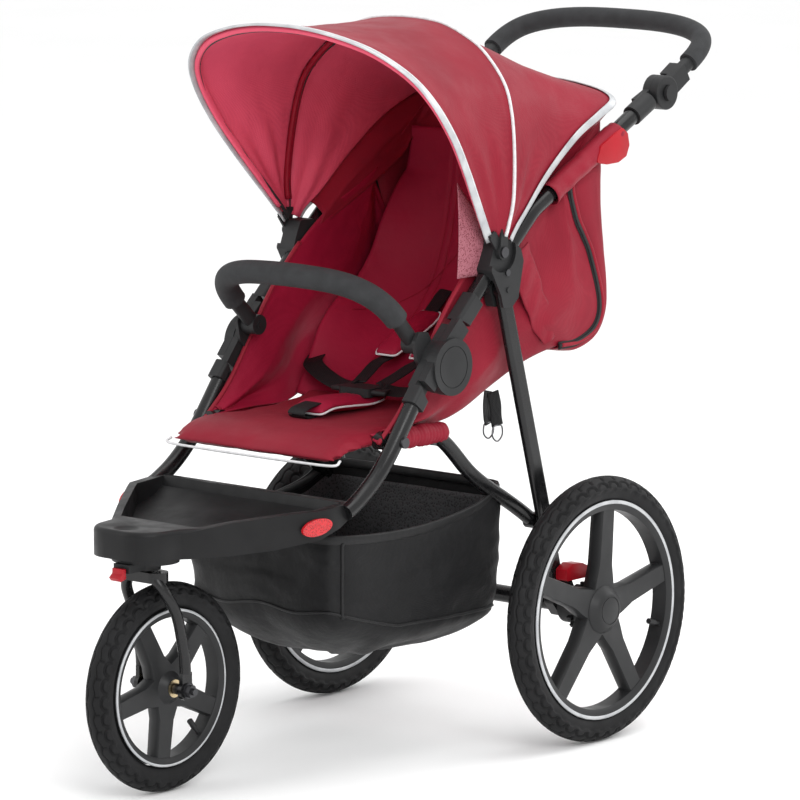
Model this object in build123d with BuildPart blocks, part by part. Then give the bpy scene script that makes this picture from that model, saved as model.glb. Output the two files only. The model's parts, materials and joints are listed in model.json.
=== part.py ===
"""Three-wheeled jogging stroller: folding tube frame, swivel front wheel,
adjustable handle, two-hoop canopy, seat, bumper bar, footrest and basket.

Units are millimetres. +Z is up, the stroller faces -Y, +X is its left side.
The origin is on the ground, under the middle of the whole stroller.
Side-view numbers (y, z) below are measured from the point on the ground
straight under the rear axle; pt() and side_plane() move them into the frame.
"""
from build123d import *
from math import cos, sin, radians
import os

os.makedirs("parts", exist_ok=True)

# ---- driving dimensions ------------------------------------------------
REAR_AXLE_Y = 206.0      # rear axle, behind the origin
REAR_WHEEL_R = 200.0     # 16 inch tyre
FRONT_WHEEL_R = 152.0    # 12 inch tyre
WHEELBASE = 663.0
HALF_TRACK = 263.6       # rear wheel mid-plane from the centre
FRONT_SECTION_R = 20.8
REAR_SECTION_R = 21.5

TUBE_R = 12.0            # main frame tubes
FRAME_X = 189.0          # main frame tubes from the centre
HANDLE_X = 193.0
SEAT_TUBE_X = 165.0
LEG_X = 199.0
LEG_THICK = 14.0
LEG_DEEP = 28.0
GAP = 0.3                # air between neighbouring moving pieces

FOLD = (-266.0, 589.0)           # main fold pivot
SEAT_PIVOT = (-370.0, 490.0)     # seat link on the front frame
LEG_PIVOT = (-148.0, 690.0)      # rear legs on the upper frame
STRUT_END = (-52.0, 332.0)       # strut beside the rear legs
CANOPY_PIVOT = (-160.0, 747.0)
HANDLE_PIVOT = (235.0, 951.0)
BUMPER_PIVOT = (-297.0, 622.0)
BRAKE_PIVOT = (-14.0, 250.0)
SWIVEL_Y = -699.0
DISC_R = 42.0
LAP_R = 69.0                     # half-lap zone of the fold joint
HANDLE_SLOPE = 31.0              # push handle plane, degrees
BUMPER_SLOPE = 135.0             # bumper plane, degrees from +Y

REAR_AXLE = (0.0, REAR_WHEEL_R)
FRONT_AXLE = (-WHEELBASE, FRONT_WHEEL_R)


# ---- helpers -----------------------------------------------------------
def pt(x, y, z):
    """A point whose y is measured from the rear axle."""
    return (x, y + REAR_AXLE_Y, z)


def side_plane(x):
    """Side-view plane at x: local axes are (y from the rear axle, z)."""
    return Plane(origin=pt(x, 0, 0), x_dir=(0, 1, 0), z_dir=(1, 0, 0))


def level_plane(z):
    """Plan-view plane at height z: local axes are (x, y from the axle)."""
    return Plane(origin=pt(0, 0, z), x_dir=(1, 0, 0), z_dir=(0, 0, 1))


def axle_plane(centre, x):
    """Plane for wheel sections: local axes are (axial, radial)."""
    return Plane(origin=pt(x, *centre), x_dir=(1, 0, 0), z_dir=(0, -1, 0))


def tilted_plane(pivot, degrees):
    """Plane through a cross axis: local axes are (x, distance out)."""
    a = radians(degrees)
    return Plane(origin=pt(0, *pivot), x_dir=(1, 0, 0), z_dir=(0, -sin(a), cos(a)))


def out_from(pivot, degrees, r):
    """Side-view point at distance r from a pivot, in a direction."""
    a = radians(degrees)
    return (pivot[0] + r * cos(a), pivot[1] + r * sin(a))


def tube(points, radius, bend):
    """Round tube along straight runs joined by bends."""
    with BuildPart() as solid:
        with BuildLine() as path:
            if bend and len(points) > 2:
                FilletPolyline(*points, radius=bend)
            else:
                Polyline(*points)
        with BuildSketch(Plane(origin=path.line @ 0, z_dir=path.line % 0)):
            Circle(radius)
        sweep(path=path.line)
    return solid.part


def smooth_tube(points, radius, tangents=None):
    """Round tube along a smooth curve."""
    with BuildPart() as solid:
        with BuildLine() as path:
            Spline(*points, tangents=tangents)
        with BuildSketch(Plane(origin=path.line @ 0, z_dir=path.line % 0)):
            Circle(radius)
        sweep(path=path.line)
    return solid.part


def side_block(x0, x1, outline, corner=0.0):
    """Side-view outline given thickness from x0 to x1."""
    with BuildPart() as solid:
        with BuildSketch(side_plane(x0)) as face:
            with BuildLine():
                Polyline(*outline, close=True)
            make_face()
            if corner:
                fillet(face.vertices(), corner)
        extrude(amount=x1 - x0)
    return solid.part


def cross_rod(centre, radius, x0, x1):
    """Round bar lying along X between x0 and x1."""
    with BuildPart() as solid:
        with BuildSketch(side_plane(x0)):
            with Locations(centre):
                Circle(radius)
        extrude(amount=x1 - x0)
    return solid.part


def sleeve_outline(start, end, half):
    """Side-view strip from start to end, half wide each way."""
    dy = end[0] - start[0]
    dz = end[1] - start[1]
    length = (dy * dy + dz * dz) ** 0.5
    ny = -dz / length * half
    nz = dy / length * half
    return [
        (start[0] + ny, start[1] + nz),
        (end[0] + ny, end[1] + nz),
        (end[0] - ny, end[1] - nz),
        (start[0] - ny, start[1] - nz),
    ]


# ---- wheels ------------------------------------------------------------
def tyre_shape(centre, x, outer_r, section_r, seat_r):
    """Pneumatic tyre: a round section, flat where it sits on the rim."""
    with BuildPart() as solid:
        with BuildSketch(axle_plane(centre, x)):
            with Locations((0, outer_r - section_r)):
                Circle(section_r)
            with Locations((0, seat_r - 20)):
                Rectangle(80, 40, mode=Mode.SUBTRACT)
        revolve(axis=Axis(pt(x, *centre), (1, 0, 0)))
    return solid.part


def rim_shape(centre, x, seat_r, inner_r, half_w, hub_r, hub_half, spoke_w, turn):
    """One-piece plastic wheel: channel rim, five flat spokes and a hub."""
    with BuildPart() as solid:
        with BuildSketch(axle_plane(centre, x)):
            with BuildLine():
                Polyline(
                    (-half_w, seat_r - 0.05),
                    (half_w, seat_r - 0.05),
                    (half_w, seat_r - 4),
                    (half_w - 4, inner_r),
                    (-half_w + 4, inner_r),
                    (-half_w, seat_r - 4),
                    close=True,
                )
            make_face()
        revolve(axis=Axis(pt(x, *centre), (1, 0, 0)))
        with BuildSketch(axle_plane(centre, x)):
            with BuildLine():
                Polyline(
                    (-hub_half, 0),
                    (-hub_half, hub_r - 6),
                    (-hub_half + 8, hub_r),
                    (hub_half - 12, hub_r),
                    (hub_half - 2, hub_r - 10),
                    (hub_half, hub_r - 14),
                    (hub_half, 0),
                    close=True,
                )
            make_face()
        revolve(axis=Axis(pt(x, *centre), (1, 0, 0)))
        with BuildSketch(side_plane(x)):
            with Locations(centre):
                with PolarLocations(0, 5, start_angle=turn):
                    Polygon(
                        (0, -spoke_w * 0.95),
                        (hub_r * 1.25, -spoke_w * 0.72),
                        (hub_r * 1.9, -spoke_w * 0.56),
                        (inner_r + 3, -spoke_w * 0.5),
                        (inner_r + 3, spoke_w * 0.5),
                        (hub_r * 1.9, spoke_w * 0.56),
                        (hub_r * 1.25, spoke_w * 0.72),
                        (0, spoke_w * 0.95),
                        align=None,
                    )
        extrude(amount=half_w - 5, both=True, taper=14)
    return solid.part


def valve_shape(centre, x, inner_r, angle):
    """Tyre valve stem with its cap, pointing at the hub."""
    a = radians(angle)
    tip_r = inner_r - 27
    start = inner_r - 0.15
    base = pt(x, centre[0] + start * cos(a), centre[1] + start * sin(a))
    with BuildPart() as solid:
        with BuildSketch(Plane(origin=base, z_dir=(0, -cos(a), -sin(a)))):
            Circle(3.0)
        extrude(amount=inner_r - tip_r - 10)
        with BuildSketch(Plane(origin=base, z_dir=(0, -cos(a), -sin(a))).offset(12)):
            Circle(4.4)
        extrude(amount=inner_r - tip_r - 12)
    return solid.part


REAR_SEAT = 163.0
REAR_INNER = 150.0
FRONT_SEAT = 113.0
FRONT_INNER = 102.0

with BuildPart() as front_tyre:
    add(tyre_shape(FRONT_AXLE, 0, FRONT_WHEEL_R, FRONT_SECTION_R, FRONT_SEAT))
front_tyre.part.label = "front_tyre"
export_step(front_tyre.part, "parts/front_tyre.step")

front_rim_solid = rim_shape(
    FRONT_AXLE, 0, FRONT_SEAT, FRONT_INNER, 16, 25, 22, 30, 47
)
with BuildPart() as front_rim:
    add(front_rim_solid)
    add(cross_rod(FRONT_AXLE, 13.05, -23, 23), mode=Mode.SUBTRACT)
front_rim.part.label = "front_rim"
export_step(front_rim.part, "parts/front_rim.step")

with BuildPart() as front_bearings:
    for x in (-22, 13):
        with BuildSketch(side_plane(x)):
            with Locations(FRONT_AXLE):
                Circle(13)
                Circle(5.05, mode=Mode.SUBTRACT)
        extrude(amount=9)
front_bearings.part.label = "front_bearings"
export_step(front_bearings.part, "parts/front_bearings.step")

with BuildPart() as front_valve:
    add(valve_shape(FRONT_AXLE, 5, FRONT_INNER, -50))
front_valve.part.label = "front_valve"
export_step(front_valve.part, "parts/front_valve.step")

for side, name in ((1, "left"), (-1, "right")):
    wheel_x = side * HALF_TRACK

    with BuildPart() as rear_tyre:
        add(tyre_shape(REAR_AXLE, wheel_x, REAR_WHEEL_R, REAR_SECTION_R, REAR_SEAT))
    rear_tyre.part.label = "rear_tyre_" + name
    export_step(rear_tyre.part, f"parts/rear_tyre_{name}.step")

    rear_rim_solid = rim_shape(
        REAR_AXLE, HALF_TRACK, REAR_SEAT, REAR_INNER, 17, 36, 25, 31, 13.5
    )
    with BuildPart() as rear_rim:
        add(rear_rim_solid)
        # brake gear on the wheel's inner face
        with BuildSketch(side_plane(HALF_TRACK - 31)):
            with Locations(REAR_AXLE):
                Circle(31)
                with PolarLocations(33, 16):
                    Rectangle(9, 6)
        extrude(amount=8)
        # ring groove round the hub cap
        with BuildSketch(side_plane(HALF_TRACK + 24)):
            with Locations(REAR_AXLE):
                Circle(21)
                Circle(19.6, mode=Mode.SUBTRACT)
        extrude(amount=4, mode=Mode.SUBTRACT)
        add(
            cross_rod(REAR_AXLE, 8.05, HALF_TRACK - 40, HALF_TRACK + 16),
            mode=Mode.SUBTRACT,
        )
        if side < 0:
            mirror(about=Plane.YZ, mode=Mode.REPLACE)
    rear_rim.part.label = "rear_rim_" + name
    export_step(rear_rim.part, f"parts/rear_rim_{name}.step")

    with BuildPart() as rear_valve:
        add(valve_shape(REAR_AXLE, side * (HALF_TRACK + 5), REAR_INNER, -17))
    rear_valve.part.label = "rear_valve_" + name
    export_step(rear_valve.part, f"parts/rear_valve_{name}.step")


# ---- front fork --------------------------------------------------------
FORK_LEG = [
    (24, -706, 320),
    (35, -702, 303),
    (42, -686, 275),
    (43, -672, 232),
    (43, -665, 195),
    (43, -664, 177),
]
fork_leg = smooth_tube([pt(*p) for p in FORK_LEG], 8.3)
with BuildPart() as fork:
    with BuildSketch(level_plane(312)):
        with Locations((0, SWIVEL_Y)):
            SlotOverall(76, 34)
    extrude(amount=15)
    with BuildSketch(level_plane(326)):
        with Locations((0, SWIVEL_Y)):
            Circle(9)
    extrude(amount=20)
    add(fork_leg)
    # flattened leg end round the axle
    with BuildSketch(side_plane(39)):
        with Locations(FRONT_AXLE):
            Circle(14)
        with Locations((FRONT_AXLE[0], FRONT_AXLE[1] + 14)):
            Rectangle(20, 24)
    extrude(amount=7)
    mirror(about=Plane.YZ)
    add(cross_rod(FRONT_AXLE, 5.05, -60, 60), mode=Mode.SUBTRACT)
fork.part.label = "fork"
export_step(fork.part, "parts/fork.step")

with BuildPart() as front_axle:
    add(cross_rod(FRONT_AXLE, 5, -62, 62))
    with BuildSketch(side_plane(46.3)):
        with Locations(FRONT_AXLE):
            Circle(11)
    extrude(amount=2.5)
    with BuildSketch(side_plane(48.5)):
        with Locations(FRONT_AXLE):
            RegularPolygon(9.5, 6)
    extrude(amount=8)
    with BuildSketch(side_plane(23.5)):
        with Locations(FRONT_AXLE):
            Circle(8)
    extrude(amount=15)
    mirror(about=Plane.YZ)
front_axle.part.label = "front_axle"
export_step(front_axle.part, "parts/front_axle.step")

# bearing plate and lock bracket under the footrest nose
with BuildPart() as swivel_housing:
    with BuildSketch(level_plane(341)):
        with Locations((0, SWIVEL_Y)):
            Ellipse(52, 44)
    extrude(amount=8.8)
    with BuildSketch(level_plane(329)):
        with Locations((0, SWIVEL_Y)):
            Circle(22)
    extrude(amount=13)
    with BuildSketch(level_plane(330)):
        with Locations((0, SWIVEL_Y - 32)):
            Rectangle(30, 36)
    extrude(amount=12)
    with BuildSketch(level_plane(328)):
        with Locations((0, SWIVEL_Y)):
            Circle(9.3)
    extrude(amount=19, mode=Mode.SUBTRACT)
swivel_housing.part.label = "swivel_housing"
export_step(swivel_housing.part, "parts/swivel_housing.step")

with BuildPart() as swivel_lock:
    with BuildSketch(side_plane(-11)):
        with BuildLine():
            Polyline(
                (-749.9, 337), (-749.9, 322), (-760, 319), (-764, 324),
                (-757, 330), (-757, 337), close=True,
            )
        make_face()
    extrude(amount=22)
swivel_lock.part.label = "swivel_lock"
export_step(swivel_lock.part, "parts/swivel_lock.step")


# ---- footrest tray -----------------------------------------------------
TRAY_HALF_PLAN = [(58, -765), (70, -698), (187, -535), (190, -466)]
TRAY_RIM_FRONT = 393.0


def tray_block(inset, top):
    """Plan outline, drawn in by an inset, made solid up to a height."""
    half = [(x - inset, y + (inset if y < -700 else 0)) for x, y in TRAY_HALF_PLAN]
    with BuildPart() as solid:
        with BuildSketch(level_plane(330)) as plan:
            with BuildLine():
                Polyline(*half, *[(-x, y) for x, y in reversed(half)], close=True)
            make_face()
            corners = plan.vertices().sort_by(Axis.Y)
            fillet(corners[0:2], 48 - inset)
            fillet(plan.vertices().filter_by(
                lambda v: -715 < v.Y - REAR_AXLE_Y < -690), 60)
            fillet(plan.vertices().filter_by(
                lambda v: -545 < v.Y - REAR_AXLE_Y < -525), 40)
        extrude(amount=top - 330)
    return solid.part


def side_cut(profile):
    """Side-view outline right across the tray."""
    return side_block(-220, 220, profile)


with BuildPart() as tray_sides:
    # the sides rise towards the back wall
    add(tray_block(0, 440))
    add(side_cut([
        (-700, 360), (-700, 386), (-640, 399), (-560, 409), (-466, 415), (-466, 360),
    ]), mode=Mode.INTERSECT)
with BuildPart() as tray_outer:
    add(tray_block(0, TRAY_RIM_FRONT))
    fillet(tray_outer.faces().sort_by(Axis.Z)[-1].edges(), 7)
    add(tray_sides.part)
    add(side_cut([
        (-790, 352), (-690, 350.1), (-640, 352), (-590, 357), (-536, 369), (-496, 381),
        (-466, 398), (-466, 430), (-790, 430),
    ]), mode=Mode.INTERSECT)
with BuildPart() as tray_basin:
    add(tray_block(15, 440))
    add(side_cut([
        (-672, 430), (-672, 384), (-655, 366), (-590, 366), (-540, 377), (-500, 388),
        (-479, 400), (-473, 430),
    ]), mode=Mode.INTERSECT)
LOWER_TUBE = [
    (-329, 550.5), (-373, 493), (-402, 459), (-432, 432), (-463, 412), (-484, 402),
]
lower_run = {s: [pt(s * FRAME_X, y, z) for y, z in LOWER_TUBE] for s in (1, -1)}
with BuildPart() as footrest_tray:
    add(tray_outer.part)
    add(tray_basin.part, mode=Mode.SUBTRACT)
    # shallow hand dip on top of the nose
    with Locations(pt(0, -738, 432)):
        Sphere(44, mode=Mode.SUBTRACT)
    # sockets for the two side tubes
    for s in (1, -1):
        add(smooth_tube(lower_run[s], TUBE_R + 0.1), mode=Mode.SUBTRACT)
footrest_tray.part.label = "footrest_tray"
export_step(footrest_tray.part, "parts/footrest_tray.step")

with BuildPart() as reflectors:
    for s in (1, -1):
        with BuildSketch(Plane(
            origin=pt(s * 182.5, -540, 388), x_dir=(0, 1, 0.16), z_dir=(s, -0.28, 0)
        )):
            Ellipse(25, 12)
        extrude(amount=5)
    add(tray_outer.part, mode=Mode.SUBTRACT)
reflectors.part.label = "reflectors"
export_step(reflectors.part, "parts/reflectors.step")


# ---- side tubes and fold joint, one each side --------------------------
TUBE_FOOT = (-283.0, 606.0)      # side tube beside the fold pivot


def upper_line(r):
    """Point on the side tube, r above the fold joint."""
    return (TUBE_FOOT[0] + r * 0.7255, TUBE_FOOT[1] + r * 0.688)


def lower_line(r):
    """Point on the side tube, r below the fold joint."""
    return (TUBE_FOOT[0] - r * 0.637, TUBE_FOOT[1] - r * 0.771)


HOUSING_IN = 177.0
HOUSING_MID = 190.0
HOUSING_OUT = 203.5
DISC_OUT = 207.0
SLEEVE_HALF = 15.0
LAP_HALF = 14.5


def long_edges(solid):
    """The long outer edges of a sleeve, to be rounded."""
    return solid.edges().filter_by(
        lambda e: abs(e.tangent_at(0.5).X) < 0.1 and e.length > 50
    )


for s, name in ((1, "left"), (-1, "right")):
    with BuildPart() as lower_tube:
        add(smooth_tube(lower_run[s], TUBE_R))
    lower_tube.part.label = "lower_tube_" + name
    export_step(lower_tube.part, f"parts/lower_tube_{name}.step")

    lower_outline = sleeve_outline(lower_line(30), lower_line(88), SLEEVE_HALF)
    lower_lap = sleeve_outline(lower_line(62), lower_line(-2), LAP_HALF)
    upper_lap = sleeve_outline(upper_line(-2), upper_line(48), LAP_HALF)
    with BuildPart() as lower_hinge:
        add(side_block(HOUSING_IN, HOUSING_OUT, lower_outline))
        fillet(long_edges(lower_hinge), 6)
        add(cross_rod(FOLD, LAP_R + GAP, HOUSING_IN, HOUSING_OUT), mode=Mode.SUBTRACT)
        # inner half of the lap joint, with its spindle
        add(side_block(HOUSING_IN, HOUSING_MID - GAP, lower_lap))
        add(side_block(HOUSING_IN, HOUSING_MID - GAP, upper_lap))
        add(cross_rod(FOLD, DISC_R - 1, HOUSING_IN, HOUSING_MID - GAP))
        add(cross_rod(FOLD, 9.0, HOUSING_IN, DISC_OUT - 5))
        add(smooth_tube(lower_run[1], TUBE_R + 0.05), mode=Mode.SUBTRACT)
        if s < 0:
            mirror(about=Plane.YZ, mode=Mode.REPLACE)
    lower_hinge.part.label = "lower_hinge_" + name
    export_step(lower_hinge.part, f"parts/lower_hinge_{name}.step")

    upper_run = [pt(FRAME_X, *upper_line(72)), pt(FRAME_X, *upper_line(174))]
    with BuildPart() as upper_tube:
        add(tube(upper_run, TUBE_R, 0))
        if s < 0:
            mirror(about=Plane.YZ, mode=Mode.REPLACE)
    upper_tube.part.label = "upper_tube_" + name
    export_step(upper_tube.part, f"parts/upper_tube_{name}.step")

    upper_outline = sleeve_outline(upper_line(30), upper_line(109), SLEEVE_HALF)
    outer_lap_low = sleeve_outline(lower_line(-2), lower_line(52), LAP_HALF)
    outer_lap_high = sleeve_outline(upper_line(62), upper_line(-2), LAP_HALF)
    with BuildPart() as upper_hinge:
        add(side_block(HOUSING_IN, HOUSING_OUT, upper_outline))
        fillet(long_edges(upper_hinge), 6)
        add(cross_rod(FOLD, LAP_R + GAP, HOUSING_IN, HOUSING_OUT), mode=Mode.SUBTRACT)
        # outer half of the lap joint, with its round cover
        add(side_block(HOUSING_MID, HOUSING_OUT, outer_lap_low))
        add(side_block(HOUSING_MID, HOUSING_OUT, outer_lap_high))
        add(cross_rod(FOLD, DISC_R, HOUSING_MID, DISC_OUT))
        with BuildSketch(side_plane(DISC_OUT - 1)):
            with Locations(FOLD):
                Circle(31)
                Circle(29.6, mode=Mode.SUBTRACT)
        extrude(amount=2, mode=Mode.SUBTRACT)
        add(cross_rod(FOLD, 9.05, HOUSING_MID - 1, DISC_OUT - 4.9), mode=Mode.SUBTRACT)
        add(tube(upper_run, TUBE_R + 0.05, 0), mode=Mode.SUBTRACT)
        if s < 0:
            mirror(about=Plane.YZ, mode=Mode.REPLACE)
    upper_hinge.part.label = "upper_hinge_" + name
    export_step(upper_hinge.part, f"parts/upper_hinge_{name}.step")

    # bracket that joins side tube, handle tube, rear leg and canopy
    bracket_outline = [
        (-186, 722), (-176, 748), (-168, 764), (-140, 764), (-118, 748),
        (-112, 730), (-124, 676), (-138, 664), (-158, 664), (-164, 684),
    ]
    with BuildPart() as hinge_bracket:
        add(side_block(HOUSING_IN, 211, bracket_outline, 5))
        # slot for the top of the rear leg
        leg_slot = [(-176, 708), (-112, 716), (-90, 640), (-190, 640)]
        add(side_block(LEG_X - LEG_THICK / 2 - GAP, LEG_X + LEG_THICK / 2 + GAP, leg_slot),
            mode=Mode.SUBTRACT)
        add(cross_rod(LEG_PIVOT, 4.0, HOUSING_IN, 213))
        # flat for the canopy arms
        add(cross_rod(CANOPY_PIVOT, 30, 205, 215), mode=Mode.SUBTRACT)
        add(tube(upper_run, TUBE_R + 0.05, 0), mode=Mode.SUBTRACT)
        if s < 0:
            mirror(about=Plane.YZ, mode=Mode.REPLACE)
    hinge_bracket.part.label = "hinge_bracket_" + name
    export_step(hinge_bracket.part, f"parts/hinge_bracket_{name}.step")

    # handle tube up to the height-adjusting joint
    handle_run = [
        pt(HANDLE_X, -138, 738), pt(HANDLE_X, -70, 799), pt(HANDLE_X, 205, 941),
    ]
    handle_tube_solid = tube(handle_run, TUBE_R, 90)
    with BuildPart() as handle_tube:
        add(handle_tube_solid)
        add(hinge_bracket.part if s > 0 else hinge_bracket.part.mirror(Plane.YZ),
            mode=Mode.SUBTRACT)
        if s < 0:
            mirror(about=Plane.YZ, mode=Mode.REPLACE)
    handle_tube.part.label = "handle_tube_" + name
    export_step(handle_tube.part, f"parts/handle_tube_{name}.step")

    # lower half of the height joint: collar and inner disc
    with BuildPart() as handle_socket:
        add(tube([pt(HANDLE_X, 165, 920.5), pt(HANDLE_X, 203, 940)], TUBE_R + 3.5, 0))
        add(cross_rod(HANDLE_PIVOT, 26, 178, 191.7))
        add(side_block(180, 191.7, sleeve_outline((185, 931), (222, 947), 14)))
        add(cross_rod(HANDLE_PIVOT, 8.0, 178, 203))
        add(cross_rod(HANDLE_PIVOT, 5.5, 177, 204), mode=Mode.SUBTRACT)
        add(cross_rod(HANDLE_PIVOT, 26.3, 192, 220), mode=Mode.SUBTRACT)
        add(cross_rod(HANDLE_PIVOT, 8.0, 190, 203))
        add(cross_rod(HANDLE_PIVOT, 5.5, 177, 204), mode=Mode.SUBTRACT)
        add(handle_tube_solid, mode=Mode.SUBTRACT)
        if s < 0:
            mirror(about=Plane.YZ, mode=Mode.REPLACE)
    handle_socket.part.label = "handle_socket_" + name
    export_step(handle_socket.part, f"parts/handle_socket_{name}.step")

    # push button in the middle of the height joint
    with BuildPart() as handle_button:
        add(cross_rod(HANDLE_PIVOT, 5.2, 196, 211.5))
        add(cross_rod(HANDLE_PIVOT, 12.0, 208.5, 213.5))
        if s < 0:
            mirror(about=Plane.YZ, mode=Mode.REPLACE)
    handle_button.part.label = "handle_button_" + name
    export_step(handle_button.part, f"parts/handle_button_{name}.step")

    # fold release: red trigger that slides up the handle tube
    with BuildPart() as fold_trigger:
        add(side_block(179, 210, [
            (60, 860), (84, 855), (112, 856), (131, 864), (138, 880), (134, 898),
            (122, 907), (104, 900), (70, 883),
        ], 4))
        add(handle_tube_solid, mode=Mode.SUBTRACT)
        add(tube(handle_run, TUBE_R + GAP, 90), mode=Mode.SUBTRACT)
        if s < 0:
            mirror(about=Plane.YZ, mode=Mode.REPLACE)
    fold_trigger.part.label = "fold_trigger_" + name
    export_step(fold_trigger.part, f"parts/fold_trigger_{name}.step")

    # rear leg: flat oval tube from the bracket to the axle
    foot = (-13.0, 214.0)
    leg_dir = (foot[0] - LEG_PIVOT[0], foot[1] - LEG_PIVOT[1])
    leg_len = (leg_dir[0] ** 2 + leg_dir[1] ** 2) ** 0.5
    leg_z = (0, leg_dir[0] / leg_len, leg_dir[1] / leg_len)
    with BuildPart() as rear_leg:
        with BuildSketch(Plane(origin=pt(LEG_X, *LEG_PIVOT), x_dir=(1, 0, 0), z_dir=leg_z)):
            RectangleRounded(LEG_THICK, LEG_DEEP, 6.5)
        extrude(amount=leg_len)
        add(cross_rod(LEG_PIVOT, 13.9, LEG_X - LEG_THICK / 2, LEG_X + LEG_THICK / 2))
        add(cross_rod(LEG_PIVOT, 4.05, LEG_X - 10, LEG_X + 10), mode=Mode.SUBTRACT)
        # foot casting round the axle
        add(side_block(LEG_X - 9, LEG_X + 8, [
            (-34, 258), (-4, 260), (22, 212), (20, 186), (-18, 184), (-36, 206),
        ], 6))
        add(cross_rod(REAR_AXLE, 8.0, LEG_X - 12, LEG_X + 12), mode=Mode.SUBTRACT)
        add(cross_rod(BRAKE_PIVOT, 4.0, LEG_X - 2, LEG_X + 12), mode=Mode.SUBTRACT)
        if s < 0:
            mirror(about=Plane.YZ, mode=Mode.REPLACE)
    rear_leg.part.label = "rear_leg_" + name
    export_step(rear_leg.part, f"parts/rear_leg_{name}.step")

# bolts of the leg pivot and the bracket, and the canopy pins
with BuildPart() as bracket_bolts:
    add(cross_rod((-150, 716), 5.0, 211, 213.5))
    add(cross_rod(CANOPY_PIVOT, 4.0, 205, 214))
    add(cross_rod(CANOPY_PIVOT, 8.0, 213.4, 216))
    mirror(about=Plane.YZ)
bracket_bolts.part.label = "bracket_bolts"
export_step(bracket_bolts.part, "parts/bracket_bolts.step")

with BuildPart() as rear_axle:
    add(cross_rod(REAR_AXLE, 7.98, -(HALF_TRACK + 14), HALF_TRACK + 14))
    add(cross_rod(REAR_AXLE, 13.0, -189.5, 189.5))
rear_axle.part.label = "rear_axle"
export_step(rear_axle.part, "parts/rear_axle.step")

with BuildPart() as brake_housings:
    with BuildSketch(side_plane(207.2)):
        with Locations(REAR_AXLE):
            Circle(27)
        with Locations((-2, 212)):
            Rectangle(40, 28)
    extrude(amount=22)
    add(cross_rod(REAR_AXLE, 8.0, 200, 235), mode=Mode.SUBTRACT)
    mirror(about=Plane.YZ)
brake_housings.part.label = "brake_housings"
export_step(brake_housings.part, "parts/brake_housings.step")

with BuildPart() as brake_pedals:
    add(side_block(208, 229, [
        (-30, 241), (-30, 258), (-14, 266), (8, 264), (28, 255), (30, 246), (14, 241),
    ], 2.5))
    add(cross_rod(BRAKE_PIVOT, 3.95, 198, 210))
    mirror(about=Plane.YZ)
brake_pedals.part.label = "brake_pedals"
export_step(brake_pedals.part, "parts/brake_pedals.step")

with BuildPart() as seat_bolts:
    add(cross_rod(SEAT_PIVOT, 4.0, 160, 203))
    add(cross_rod(SEAT_PIVOT, 8.0, 201.1, 205))
    add(smooth_tube(lower_run[1], TUBE_R), mode=Mode.SUBTRACT)
    mirror(about=Plane.YZ)
seat_bolts.part.label = "seat_bolts"
export_step(seat_bolts.part, "parts/seat_bolts.step")


# ---- push handle -------------------------------------------------------
def handle_point(x, r):
    """Point of the push handle, r out from its pivot axis."""
    y, z = out_from(HANDLE_PIVOT, HANDLE_SLOPE, r)
    return pt(x, y, z)


HANDLE_HALF = [(HANDLE_X, 27.5), (HANDLE_X, 72), (192, 104), (180, 136), (146, 160),
               (96, 173), (0, 178)]
handle_curve = [handle_point(x, r) for x, r in HANDLE_HALF]
handle_curve += [handle_point(-x, r) for x, r in reversed(HANDLE_HALF[:-1])]
grip_curve = handle_curve[1:-1]
with BuildPart() as push_handle:
    add(smooth_tube(handle_curve, TUBE_R - 1))
push_handle.part.label = "push_handle"
export_step(push_handle.part, "parts/push_handle.step")

with BuildPart() as handle_grip:
    with BuildLine() as grip_path:
        Spline(*handle_curve)
    grip_line = grip_path.edge().trim(0.085, 0.915)
    with BuildSketch(Plane(origin=grip_line @ 0, z_dir=grip_line % 0)):
        Circle(15.5)
    sweep(path=grip_line)
    add(push_handle.part, mode=Mode.SUBTRACT)
handle_grip.part.label = "handle_grip"
export_step(handle_grip.part, "parts/handle_grip.step")

with BuildPart() as handle_discs:
    with BuildSketch(side_plane(192)):
        with Locations(HANDLE_PIVOT):
            Circle(26)
    extrude(amount=15)
    fillet(handle_discs.edges().filter_by(GeomType.CIRCLE).sort_by(Axis.X)[-1:], 3)
    add(side_block(178, 206, sleeve_outline(
        out_from(HANDLE_PIVOT, HANDLE_SLOPE, 28), out_from(HANDLE_PIVOT, HANDLE_SLOPE, 56), 14.5)))
    add(side_block(192.3, 206, sleeve_outline(
        HANDLE_PIVOT, out_from(HANDLE_PIVOT, HANDLE_SLOPE, 40), 14.5)))
    add(cross_rod(HANDLE_PIVOT, 8.05, 170, 203.2), mode=Mode.SUBTRACT)
    add(cross_rod(HANDLE_PIVOT, 12.3, 203, 215), mode=Mode.SUBTRACT)
    mirror(about=Plane.YZ)
    add(push_handle.part, mode=Mode.SUBTRACT)
handle_discs.part.label = "handle_discs"
export_step(handle_discs.part, "parts/handle_discs.step")


# ---- bumper bar --------------------------------------------------------
def bumper_point(x, r):
    """Point of the bumper bar, r out from its bracket pivot."""
    y, z = out_from(BUMPER_PIVOT, BUMPER_SLOPE, r)
    return pt(x, y, z)


BUMPER_HALF = [(157, 3), (158, 52), (154, 84), (138, 110), (106, 128), (56, 136), (0, 138)]
bumper_curve = [bumper_point(x, r) for x, r in BUMPER_HALF]
bumper_curve += [bumper_point(-x, r) for x, r in reversed(BUMPER_HALF[:-1])]
with BuildPart() as bumper_bar:
    add(smooth_tube(bumper_curve, 11.5))
    for s in (1, -1):
        add(cross_rod(BUMPER_PIVOT, 15, s * 157 - 12.5, s * 157 + 12.5))
    add(cross_rod(BUMPER_PIVOT, 5.05, -180, 180), mode=Mode.SUBTRACT)
bumper_bar.part.label = "bumper_bar"
export_step(bumper_bar.part, "parts/bumper_bar.step")

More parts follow.
